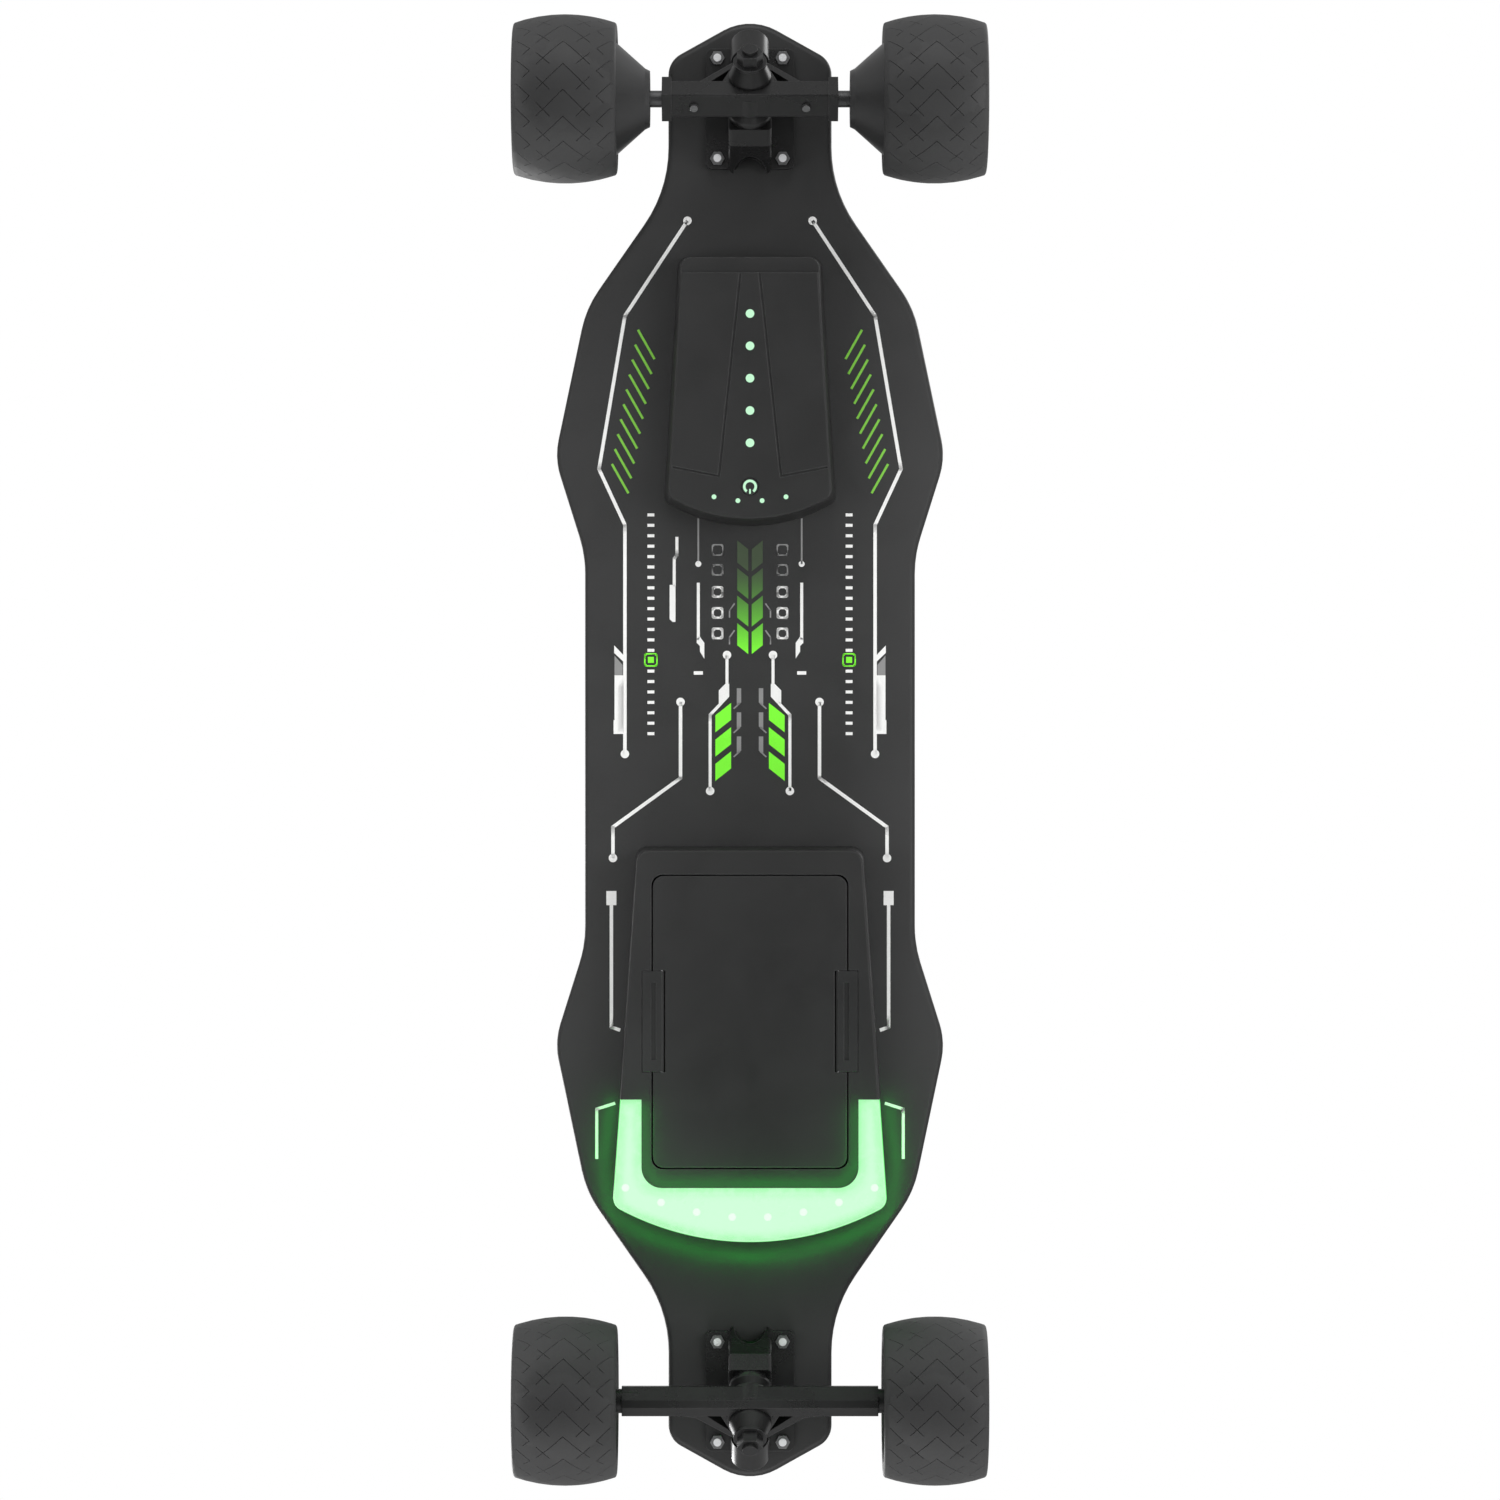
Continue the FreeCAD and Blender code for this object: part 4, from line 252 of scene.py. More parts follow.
def make_grip_material():
    """Coarse grit: pale facets scattered over a black binder."""
    material = bpy.data.materials.new("grip grit")
    material.use_nodes = True
    tree = material.node_tree
    shader = tree.nodes["Principled BSDF"]
    place = add(tree, "ShaderNodeTexCoord")
    grit = add(tree, "ShaderNodeTexNoise", {"Scale": 520.0, "Detail": 2.5, "Roughness": 0.62})
    link(tree, place.outputs["Object"], grit.inputs["Vector"])
    fleck = add(tree, "ShaderNodeValToRGB")
    ramp = fleck.color_ramp
    ramp.elements[0].position = 0.46
    ramp.elements[0].color = (0.007, 0.007, 0.0075, 1.0)
    ramp.elements[1].position = 0.69
    ramp.elements[1].color = (0.75, 0.75, 0.76, 1.0)
    middle = ramp.elements.new(0.56)
    middle.color = (0.035, 0.035, 0.037, 1.0)
    link(tree, grit.outputs["Fac"], fleck.inputs["Fac"])
    smudges = use_group(tree, SMUDGE, Scale=14.0)
    dusty = add(tree, "ShaderNodeMath", operation="MULTIPLY")
    dusty.inputs[1].default_value = 0.12
    link(tree, smudges.outputs["Mask"], dusty.inputs[0])
    link(tree, mix(tree, dusty.outputs["Value"], fleck.outputs["Color"], grey(0.02)),
         shader.inputs["Base Color"])
    shine = add(tree, "ShaderNodeMapRange", {"To Min": 0.85, "To Max": 0.45})
    link(tree, grit.outputs["Fac"], shine.inputs["Value"])
    link(tree, shine.outputs["Result"], shader.inputs["Roughness"])
    lift = add(tree, "ShaderNodeBump", {"Strength": 0.6, "Distance": 0.0006})
    link(tree, grit.outputs["Fac"], lift.inputs["Height"])
    link(tree, lift.outputs["Normal"], shader.inputs["Normal"])
    return material


def make_print_material(name, pale, dark=None, low=None, high=None):
    """Screen-printed ink; with two places it fades from dark to pale along the board."""
    material = surface(name, pale, 0.5, grain=1200.0, bump=0.03, patchy=0.08, radius=0.0001)
    if low is None:
        return material
    tree = material.node_tree
    shader = tree.nodes["Principled BSDF"]
    place = add(tree, "ShaderNodeTexCoord")
    parts = add(tree, "ShaderNodeSeparateXYZ")
    link(tree, place.outputs["Object"], parts.inputs["Vector"])
    fade = add(tree, "ShaderNodeMapRange", {"From Min": high, "From Max": low})
    link(tree, parts.outputs["Y"], fade.inputs["Value"])
    curve = add(tree, "ShaderNodeMath", operation="POWER")
    curve.inputs[1].default_value = 2.0
    link(tree, fade.outputs["Result"], curve.inputs[0])
    old = shader.inputs["Base Color"].links[0].from_socket
    link(tree, mix(tree, curve.outputs["Value"], dark, old), shader.inputs["Base Color"])
    return material


# The edge colours given here are partly rubbed wear and partly a painted highlight on the edges.
SLOTS = {
    "composite_deck": make_deck_material(),
    "grip": make_grip_material(),
    "satin_metal": surface("plate satin", grey(0.07), 0.46, metallic=0.35, grain=2400.0, bump=0.05,
                           edge_wear_and_highlight=grey(0.75), radius=0.0007, gain=2.2),
    "bolt_steel": surface("bright steel", grey(0.8), 0.25, metallic=0.85, grain=1500.0,
                          edge_wear_and_highlight=grey(0.95), radius=0.0003),
    "nut_steel": surface("plated steel", grey(0.2), 0.34, metallic=0.8, grain=1500.0,
                         edge_wear_and_highlight=grey(0.5), radius=0.0004),
    "cast_metal": surface("cast truck coat", grey(0.016), 0.3, metallic=0.2, grain=1300.0,
                          bump=0.16, depth=0.0003, edge_wear_and_highlight=grey(0.09), radius=0.0009, gain=2.0),
    "urethane": surface("bushing urethane", grey(0.012), 0.35, grain=700.0, bump=0.03,
                        edge_wear_and_highlight=grey(0.03), radius=0.0006),
    "shaft_steel": surface("shaft steel", grey(0.13), 0.3, metallic=0.85, grain=2200.0,
                           edge_wear_and_highlight=grey(0.4), radius=0.0004),
    "tyre_rubber": surface("tyre rubber", grey(0.042), 0.6, grain=1800.0, bump=0.14, depth=0.0002,
                           edge_wear_and_highlight=grey(0.085), radius=0.0006, gain=1.6, patchy=0.2),
    "bearing_steel": surface("bearing shield", grey(0.3), 0.3, metallic=0.85, grain=2200.0),
    "core_plastic": surface("core plastic", grey(0.02), 0.5, grain=1600.0, bump=0.08,
                            edge_wear_and_highlight=grey(0.045), radius=0.0007),
    "motor_metal": surface("motor shell", grey(0.045), 0.36, metallic=0.3, grain=2000.0, bump=0.05,
                           edge_wear_and_highlight=grey(0.16), radius=0.0007),
    "cap_metal": surface("wheel cap", grey(0.03), 0.4, metallic=0.3, grain=2000.0, bump=0.05,
                         edge_wear_and_highlight=grey(0.12), radius=0.0006),
    "magnet": surface("magnet plating", grey(0.5), 0.25, metallic=0.9),
    "core_iron": surface("core sheets", grey(0.25), 0.5, metallic=0.7),
    "box_plastic": surface("box plastic", grey(0.011), 0.5, grain=1700.0, bump=0.1,
                           edge_wear_and_highlight=grey(0.11), radius=0.001, gain=1.8),
    "lamp_lens": lit("lamp lens", (0.6, 0.98, 0.66), (0.26, 0.85, 0.3), (0.0, 0.9, 0.03), 0.95,
                    radius=0.009, gain=6.0),
    "button_plastic": surface("button plastic", grey(0.02), 0.4, grain=1500.0, edge_wear_and_highlight=grey(0.06)),
    "circuit_board": surface("circuit board", (0.01, 0.07, 0.03), 0.4, grain=400.0),
    "black_parts": surface("moulded black", grey(0.015), 0.4),
    "light_chip": lit("light chip", (0.85, 1.0, 0.85), (0.6, 1.0, 0.6), (0.6, 1.0, 0.6), 1.0,
                      radius=0.0005),
    "latch_metal": surface("latch coat", grey(0.024), 0.38, metallic=0.2, grain=1600.0, bump=0.08,
                           edge_wear_and_highlight=grey(0.12), radius=0.0006, gain=1.6),
    "cell_wrap": surface("cell sleeve", (0.03, 0.08, 0.25), 0.3),
    "seal_rubber": surface("seal foam", grey(0.012), 0.8, grain=1200.0, bump=0.1),
}
# Its edge colour is partly rubbed wear and partly a painted highlight.
DARK_STEEL = surface("blackened steel", grey(0.03), 0.3, metallic=0.5, grain=1500.0,
                     edge_wear_and_highlight=grey(0.2), radius=0.0005, gain=2.0)
BOLT_TIP = surface("bolt plating", grey(0.9), 0.3, metallic=0.25, grain=1500.0, patchy=0.05,
                   radius=0.0003)
WHITE_INK = make_print_material("white ink", (0.86, 0.86, 0.85))
GREY_INK = make_print_material("grey ink", (0.25, 0.25, 0.25))
GREEN_INK = make_print_material("green ink", (0.21, 1.0, 0.03))
SLASH_INK = make_print_material("slash ink", (0.2, 0.56, 0.05))
CHEVRON_INK = make_print_material("chevron ink", (0.21, 1.0, 0.03), (0.045, 0.07, 0.035),
                                  low=0.06, high=0.122)
SMOOTH_TAPE = surface("smooth grip print", grey(0.004), 0.75, specular=0.15, grain=900.0, bump=0.04,
                      radius=0.0002)
BADGE_FACE = surface("badge face", (0.7, 0.7, 0.7), 0.35, grain=1800.0, bump=0.02,
                     radius=0.0004, patchy=0.05)
BADGE_MARK = surface("badge mark", grey(0.02), 0.4, grain=1800.0, radius=0.0002)
PALE_LAMP = lit("mint lamp", (0.55, 0.92, 0.63), (0.4, 0.8, 0.5), (0.4, 0.8, 0.5), 0.95,
                radius=0.0006)
LAMP_SPOT = lit("lamp spot", (0.8, 1.0, 0.82), (0.66, 1.0, 0.7), (0.7, 1.0, 0.74), 0.98,
                radius=0.001)

for node_name, node_object in NODES.items():
    node_object.data.materials.clear()
    node_object.data.materials.append(SLOTS[SLOT_OF[node_name]])
NODES["truck_bolts"].data.materials[0] = BOLT_TIP
for dark_node in ("kingpins", "kingpin_nuts", "bushing_washers"):
    NODES[dark_node].data.materials[0] = DARK_STEEL
for lamp in ("charge_lights", "mode_lights"):
    NODES[lamp].data.materials[0] = PALE_LAMP


# ---------------------------------------------------------------- new pieces

def make_piece(bm, name, body, material, smooth_angle=35.0):
    """Turn a finished mesh into a piece that rides on a body."""
    bmesh.ops.remove_doubles(bm, verts=bm.verts, dist=0.000002)
    bmesh.ops.recalc_face_normals(bm, faces=bm.faces)
    mesh = bpy.data.meshes.new(name)
    bm.to_mesh(mesh)
    bm.free()
    mesh.materials.append(material)
    piece = bpy.data.objects.new(name, mesh)
    bpy.context.scene.collection.objects.link(piece)
    mesh.shade_smooth()
    mesh.set_sharp_from_angle(angle=math.radians(smooth_angle))
    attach(piece, body)
    return piece


PRINT_DEPTH = 0.16 * MM
PRINT_BITE = 0.06 * MM
PRINT_ANGLE = 8.0
# cuts each way from the middle, their pitch in mm and the way they step, so marks follow curves
PRINT_CUTS = ((25, 5, Vector((1, 0, 0))), (45, 8, Vector((0, 1, 0))))
DOT_SEGMENTS = 20


def polygon(bm, points):
    """Flat face from corners in millimetres."""
    return bm.faces.new([bm.verts.new((x * MM, y * MM, 0.0)) for x, y in points])


def dot(bm, x, y, radius):
    place = Matrix.Translation((x * MM, y * MM, 0.0))
    bmesh.ops.create_circle(bm, cap_ends=True, segments=DOT_SEGMENTS, radius=radius * MM,
                            matrix=place)


def bar(bm, x0, x1, y0, y1):
    polygon(bm, [(x0, y0), (x1, y0), (x1, y1), (x0, y1)])


def mirrored(side):
    """Function that puts corners on one side of the board."""
    return lambda *points: [(side * x, y) for x, y in points]


def trace(bm, points, width):
    """Printed line of even width with mitred corners."""
    half = width / 2.0
    spots = [Vector(point) for point in points]
    ways = [(b - a).normalized() for a, b in zip(spots[:-1], spots[1:])]
    edge = []
    for number, spot in enumerate(spots):
        before = ways[max(number - 1, 0)]
        after = ways[min(number, len(ways) - 1)]
        across = Vector((-(before + after).y, (before + after).x)).normalized()
        reach = half / max(across.dot(Vector((-before.y, before.x))), 0.3)
        edge.append((spot + across * reach, spot - across * reach))
    for first, second in zip(edge[:-1], edge[1:]):
        polygon(bm, [first[0], second[0], second[1], first[1]])


def raise_faces(bm, height):
    """Give flat faces a thickness, upwards or downwards."""
    made = bmesh.ops.extrude_face_region(bm, geom=bm.faces[:])
    lifted = [item for item in made["geom"] if isinstance(item, bmesh.types.BMVert)]
    bmesh.ops.translate(bm, verts=lifted, vec=(0, 0, height))


def thicken_and_lay(bm, node, facing):
    """Give flat marks a little depth and lay them on a node's face that looks up or down."""
    for count, step, way in PRINT_CUTS:
        for number in range(-count, count + 1):
            bmesh.ops.bisect_plane(bm, geom=bm.verts[:] + bm.edges[:] + bm.faces[:],
                                   plane_co=way * number * step * MM, plane_no=way)
    raise_faces(bm, facing * (PRINT_DEPTH + PRINT_BITE))
    tree = BVHTree.FromObject(NODES[node], bpy.context.evaluated_depsgraph_get())
    for vertex in bm.verts:
        start = Vector((vertex.co.x, vertex.co.y, facing * 1.0))
        hit = tree.ray_cast(start, Vector((0, 0, -facing)))[0]
        vertex.co.z += hit.z - facing * PRINT_BITE


def printed(name, draw, material, node="deck", facing=-1):
    """Printed marks on the board's skin."""
    bm = bmesh.new()
    draw(bm)
    thicken_and_lay(bm, node, facing)
    make_piece(bm, name, "board", material, PRINT_ANGLE)


LINE = 2.2
THIN_LINE = 1.9
HAIR_LINE = 0.9
DOT = 2.7
SMALL_DOT = 1.9
DASH_COUNT = 22
DASH_TOP = 149.2
DASH_PITCH = 6.61
DASH_ACROSS = 62.9
DASH_HALF = 2.2
DASH_RISE = 0.95
SQUARE_ACROSS = 20.6
MARK_ROW = 57.2
MARK_CLEAR = 3


def draw_white(bm):
    """White lines of the circuit decoration under the deck."""
    for side in (1, -1):
        at = mirrored(side)
        trace(bm, at((39.7, 335.9), (79.4, 275.6), (95.9, 178.4), (79.4, 142.9), (79.4, -2.5)), LINE)
        dot(bm, side * 39.7, 335.9, DOT)
        dot(bm, side * 79.4, -2.5, DOT)
        polygon(bm, at((86.6, 10.2), (80.5, 10.2), (80.5, 47.4), (86.0, 47.4), (86.0, 19.0),
                       (86.6, 19.0)))
        polygon(bm, at((80.5, 56.2), (80.5, 60.4), (86.2, 66.4), (86.2, 61.6)))
        for number in range(DASH_COUNT):
            row = DASH_TOP - DASH_PITCH * number
            if abs(row - MARK_ROW) > MARK_CLEAR:
                bar(bm, side * DASH_ACROSS - DASH_HALF, side * DASH_ACROSS + DASH_HALF,
                    row - DASH_RISE, row + DASH_RISE)
        trace(bm, at((32.8, 106.2), (32.8, 70.0)), THIN_LINE)
        polygon(bm, at((33.8, 70.5), (31.8, 72.0), (29.0, 68.0), (29.0, 58.0), (31.8, 62.5),
                       (31.8, 66.0), (33.8, 68.0)))
        dot(bm, side * 32.8, 118.1, SMALL_DOT)
        bar(bm, side * 32.8 - 2.9, side * 32.8 + 2.9, 47.8, 50.0)
        trace(bm, at((14.6, 60.3), (14.6, 41.9)), THIN_LINE)
        dot(bm, side * 14.6, 60.3, DOT)
        polygon(bm, at((15.7, 42.0), (13.2, 42.0), (13.2, 33.8), (17.2, 29.6), (19.8, 29.6),
                       (19.8, 37.8)))
        trace(bm, at((18.0, 30.0), (25.3, 22.3), (25.3, -26.0)), THIN_LINE)
        dot(bm, side * 25.3, -26.0, DOT)
        trace(bm, at((44.1, 30.5), (44.1, -17.8), (87.0, -48.9), (87.0, -68.6)), LINE)
        dot(bm, side * 44.1, 30.5, DOT)
        dot(bm, side * 87.0, -68.6, DOT)
        bar(bm, side * 88.0 - 3.2, side * 88.0 + 3.2, -98.5, -89.5)
        trace(bm, at((88.0, -98.0), (88.0, -175.9), (82.4, -177.9)), LINE)
        trace(bm, at((85.6, -224.2), (97.3, -228.0), (97.3, -259.7)), THIN_LINE)
        for row in (100.3, 87.0, 74.0):
            square_ring(bm, side * SQUARE_ACROSS, row)
    trace(bm, [(46.4, 135.3), (46.4, 123.6), (48.1, 121.6), (48.1, 104.0)], THIN_LINE)
    polygon(bm, [(51.0, 104.8), (47.3, 104.8), (47.3, 81.3), (49.0, 81.3), (51.0, 83.0)])


def square_ring(bm, x, y, half=3.7, wall=1.35):
    """Square mark with an open round middle, made of four bars and four corner pieces."""
    inner = half - wall
    bar(bm, x - inner, x + inner, y + inner, y + half)
    bar(bm, x - inner, x + inner, y - half, y - inner)
    bar(bm, x - half, x - inner, y - inner, y + inner)
    bar(bm, x + inner, x + half, y - inner, y + inner)
    cut = 0.9
    fillet = 1.1
    for across in (1, -1):
        for along in (1, -1):
            polygon(bm, [(x + across * inner, y + along * inner),
                         (x + across * half, y + along * inner),
                         (x + across * half, y + along * (half - cut)),
                         (x + across * (half - cut), y + along * half),
                         (x + across * inner, y + along * half)])
            polygon(bm, [(x + across * inner, y + along * inner),
                         (x + across * (inner - fillet), y + along * inner),
                         (x + across * inner, y + along * (inner - fillet))])


def draw_grey(bm):
    """Dimmer parts of the same decoration."""
    for side in (1, -1):
        at = mirrored(side)
        polygon(bm, at((86.0, 47.4), (80.9, 47.4), (80.9, 54.0), (86.0, 60.0)))
        trace(bm, at((32.8, 147.0), (32.8, 118.1)), 1.1)
        for top in (39.2, 23.9, 8.6):
            polygon(bm, at((8.4, top), (5.6, top), (5.6, top - 9.0), (8.4, top - 11.0)))
            trace(bm, at((6.4, top - 9.4), (10.4, top - 13.0)), HAIR_LINE)
        for row in (92.0, 75.0):
            trace(bm, at((13.0, row - 8.0), (13.0, row - 3.5), (9.8, row + 1.0)), HAIR_LINE)
        for row in (127.0, 114.3):
            square_ring(bm, side * SQUARE_ACROSS, row, wall=0.8 if row > 120 else 1.0)


SLASH_COUNT = 10
SLASH_START = (71.1, 266.7)
SLASH_PITCH = (1.84, 9.46)
SLASH_REACH = (10.5, 18.6)
SLASH_WIDTH = 1.5


def draw_slashes(bm):
    """Row of slanted green strokes beside the controller box."""
    for side in (1, -1):
        for number in range(SLASH_COUNT):
            x = SLASH_START[0] + SLASH_PITCH[0] * number
            y = SLASH_START[1] - SLASH_PITCH[1] * number
            trace(bm, [(side * x, y), (side * (x - SLASH_REACH[0]), y - SLASH_REACH[1])],
                  SLASH_WIDTH)


FIELD_COUNT, FIELD_TOP, FIELD_PITCH = 3, 22.0, 15.4
CHEVRON_COUNT, CHEVRON_TOP, CHEVRON_PITCH = 4, 80.5, 17.5


def draw_green(bm):
    """Bright green fields between the two boxes."""
    for side in (1, -1):
        at = mirrored(side)
        for number in range(FIELD_COUNT):
            top = FIELD_TOP - FIELD_PITCH * number
            polygon(bm, at((22.0, top), (12.0, top + 7.9), (12.0, top - 2.9), (22.0, top - 10.8)))
        square_ring(bm, side * DASH_ACROSS, MARK_ROW, half=4.3, wall=0.9)
        bar(bm, side * DASH_ACROSS - 1.9, side * DASH_ACROSS + 1.9, 55.3, 59.1)


def draw_chevrons(bm):
    """Four arrow marks that brighten towards the battery."""
    for side in (1, -1):
        for number in range(CHEVRON_COUNT):
            top = CHEVRON_TOP + CHEVRON_PITCH * number
            polygon(bm, [(side * 8.1, top), (side * 1.1, top - 5.6), (side * 1.1, top - 19.6),
                         (side * 8.1, top - 14.0)])


printed("deck_white_print", draw_white, WHITE_INK)
printed("deck_grey_print", draw_grey, GREY_INK)
printed("deck_slash_print", draw_slashes, SLASH_INK)
printed("deck_green_print", draw_green, GREEN_INK)
printed("deck_chevron_print", draw_chevrons, CHEVRON_INK)


FRONT_STRIPES = ((94.6, -280.7, -243.8), (102.9, -245.7, -211.5), (110.5, -212.7, -175.9),
                 (112.4, -179.1, -142.9))
REAR_STRIPES = (((109.9, 175.9), (78.1, 138.4), (78.1, 153.0), (107.6, 188.0)),
                ((109.9, 200.7), (77.5, 174.0), (77.5, 188.0), (105.4, 212.7)),
                ((102.9, 231.8), (77.5, 209.6), (77.5, 224.8), (98.4, 245.7)),
                ((93.3, 264.2), (77.5, 245.7), (77.5, 259.1), (86.4, 279.4)))
STRIPE_WIDTH = 14.5
STRIPE_SLANT = 7.0
STRIPE_INNER = 78.1


def draw_tape_shapes(bm):
    """Smooth shapes left in the grit on the deck's top."""
    for side in (1, -1):
        at = mirrored(side)
        for outer, start, end in FRONT_STRIPES:
            polygon(bm, at((outer, start + STRIPE_WIDTH), (outer - STRIPE_SLANT, start),
                           (STRIPE_INNER, end - STRIPE_WIDTH), (STRIPE_INNER, end)))
        polygon(bm, at((95.9, -69.2), (87.0, -69.2), (68.6, -56.5), (68.6, 38.1), (88.3, 61.6),
                       (95.9, 61.6)))
        for corners in REAR_STRIPES:
            polygon(bm, at(*corners))


printed("tape_smooth_print", draw_tape_shapes, SMOOTH_TAPE, node="grip_tape", facing=1)


# ---------------------------------------------------------------- lamps

LENS_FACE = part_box("light_lens")[0].z
RING_INNER = 2.8 * MM
RING_OUTER = 4.4 * MM
MARK_DEPTH = 0.25 * MM
MARK_STAND = 0.03 * MM
MARK_GAP = math.radians(34)  # half the ring's opening
STROKE = (1.1 * MM, 3.0 * MM)
LENS_NOSE = -309.9
LENS_HALF = 87.5
SPOT_REACH = 78.0
SPOT_INSET = 17.0
SPOT_SAG = 23.5
SPOT_RADIUS = 2.5 * MM
SPOT_FLATNESS = 0.12


def power_mark():
    """Open ring with a short stroke on the power button."""
    low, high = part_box("power_button")
    x, y = (low.x + high.x) / 2, (low.y + high.y) / 2
    bm = bmesh.new()
    section = [bm.verts.new((radius, 0, depth)) for radius, depth in
               ((RING_INNER, 0.0), (RING_OUTER, 0.0), (RING_OUTER, -MARK_DEPTH),
                (RING_INNER, -MARK_DEPTH))]
    for first, second in zip(section, section[1:] + section[:1]):
        bm.edges.new((first, second))
    bmesh.ops.rotate(bm, verts=bm.verts[:], cent=(0, 0, 0),
                     matrix=Matrix.Rotation(-math.pi / 2 + MARK_GAP, 3, "Z"))
    bmesh.ops.spin(bm, geom=bm.verts[:] + bm.edges[:], cent=(0, 0, 0), axis=(0, 0, 1),
                   angle=2 * (math.pi - MARK_GAP), steps=40)
    bmesh.ops.holes_fill(bm, edges=[edge for edge in bm.edges if edge.is_boundary], sides=4)
    block = bmesh.ops.create_cube(bm, size=1.0)["verts"]
    bmesh.ops.scale(bm, verts=block, vec=(*STROKE, MARK_DEPTH))
    bmesh.ops.translate(bm, verts=block, vec=(0, -STROKE[1], -MARK_DEPTH / 2))
    bmesh.ops.translate(bm, verts=bm.verts, vec=(x, y, low.z + MARK_STAND))
    make_piece(bm, "power_mark", "power_button", PALE_LAMP)


power_mark()


def lens_spots():
    """Eight bright spots where the chips sit close behind the lens."""
    bm = bmesh.new()
    for share in (1, 3, 5, 7):
        across = SPOT_REACH * share / 7
        along = LENS_NOSE + SPOT_INSET + SPOT_SAG * (across / LENS_HALF) ** 2
        for side in (1, -1):
            made = bmesh.ops.create_uvsphere(bm, u_segments=20, v_segments=10,
                                             radius=SPOT_RADIUS)["verts"]
            bmesh.ops.scale(bm, verts=made, vec=(1, 1, SPOT_FLATNESS))
            bmesh.ops.translate(bm, verts=made, vec=(side * across * MM, along * MM, LENS_FACE))
    make_piece(bm, "lens_spots", "board", LAMP_SPOT)


lens_spots()


# ---------------------------------------------------------------- badges

EMBLEM_DEPTH = 0.12 * MM
EMBLEM_BITE = 0.04 * MM
PLATE_BADGE_ALONG = 412.2 * MM
PLATE_BADGE_RADIUS = 13.1 * MM
PLATE_BADGE_DEPTH = 0.6 * MM
PLATE_BADGE_SINK = 0.25 * MM
WHEEL_BADGE_RADIUS = 24.6 * MM
WHEEL_BADGE_DEPTH = 0.8 * MM
WHEEL_BADGE_SINK = 0.35 * MM


def badge(name, centre, axis, radius, body, depth):
    """Round badge with a plain turbine mark of six short strokes and a dot."""
    bm = bmesh.new()
    bmesh.ops.create_cone(bm, cap_ends=True, segments=64, radius1=radius, radius2=radius,
                          depth=depth)
    top = [edge for edge in bm.edges if all(vertex.co.z > 0 for vertex in edge.verts)]
    bmesh.ops.bevel(bm, geom=top, affect="EDGES", offset=depth * 0.35, segments=2, profile=0.5,
                    material=-1)
    turn = Vector((0, 0, 1)).rotation_difference(Vector(axis)).to_matrix().to_4x4()
    seat = Matrix.Translation(centre) @ turn
    bmesh.ops.transform(bm, matrix=seat, verts=bm.verts)
    make_piece(bm, name, body, BADGE_FACE)
    bm = bmesh.new()
    for number in range(6):
        stroke = bmesh.ops.create_circle(bm, cap_ends=True, segments=24,
                                         radius=radius * 0.1)["verts"]
        bmesh.ops.scale(bm, verts=stroke, vec=(1.0, 2.6, 1.0))
        bmesh.ops.rotate(bm, verts=stroke, cent=(0, 0, 0),
                         matrix=Matrix.Rotation(math.radians(28), 3, "Z"))
        bmesh.ops.translate(bm, verts=stroke, vec=(0, radius * 0.5, 0))
        bmesh.ops.rotate(bm, verts=stroke, cent=(0, 0, 0),
                         matrix=Matrix.Rotation(math.radians(60 * number), 3, "Z"))
    bmesh.ops.create_circle(bm, cap_ends=True, segments=32, radius=radius * 0.13)
    raise_faces(bm, EMBLEM_DEPTH)
    bmesh.ops.translate(bm, verts=bm.verts, vec=(0, 0, depth / 2 - EMBLEM_BITE))
    bmesh.ops.transform(bm, matrix=seat, verts=bm.verts)
    make_piece(bm, name + "_mark", body, BADGE_MARK)


PLATE_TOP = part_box("front_top_plate")[1].z
for end, sign in (("front", -1), ("rear", 1)):
    badge(end + "_plate_badge", (0, sign * PLATE_BADGE_ALONG, PLATE_TOP - PLATE_BADGE_SINK),
          (0, 0, 1), PLATE_BADGE_RADIUS, "board", PLATE_BADGE_DEPTH)
for side_name, side in SIDES.items():
    low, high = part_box("rear_%s_cap" % side_name)
    outer = high.x if side > 0 else low.x
    badge("rear_%s_wheel_badge" % side_name,
          (outer - side * WHEEL_BADGE_SINK, (low.y + high.y) / 2, (low.z + high.z) / 2),
          (side, 0, 0), WHEEL_BADGE_RADIUS, "rear_%s_wheel" % side_name, WHEEL_BADGE_DEPTH)


# ---------------------------------------------------------------- tyres

TYRE_RADIUS = 52.5 * MM
EDGE_RADIUS = 47.0 * MM
HALF_WIDTH = 32.3 * MM
TREAD_HALF = 28.9 * MM
LATTICE = 40
GROOVE_HALF = 0.2 * MM
GROOVE_DEPTH = 0.45 * MM
GROOVE_WALL = 0.1 * MM
# distances from the tread's middle, in lattice steps
BREAK_START, BREAK_END = 1.9, 2.6
TREAD_END = 3.6
INNER_ARM_START = 1.0
OUTER_ARM_END = 2.9
# distance across and radius in mm, from the shoulder down to the seat of the core
SIDE_PROFILE = ((31.2, 47.4), (32.0, 46.4), (32.3, 45.0), (32.3, 43.2), (31.9, 42.8),
                (31.9, 41.6), (32.3, 41.2), (32.3, 38.4), (32.0, 38.0), (30.3, 37.6),
                (30.3, 35.0))


def crown(across):
    """Radius of the tread at a distance from the tyre's middle."""
    rise = TYRE_RADIUS - EDGE_RADIUS
    arc = (HALF_WIDTH ** 2 + rise ** 2) / 2 / rise
    return TYRE_RADIUS - arc + math.sqrt(arc ** 2 - across ** 2)


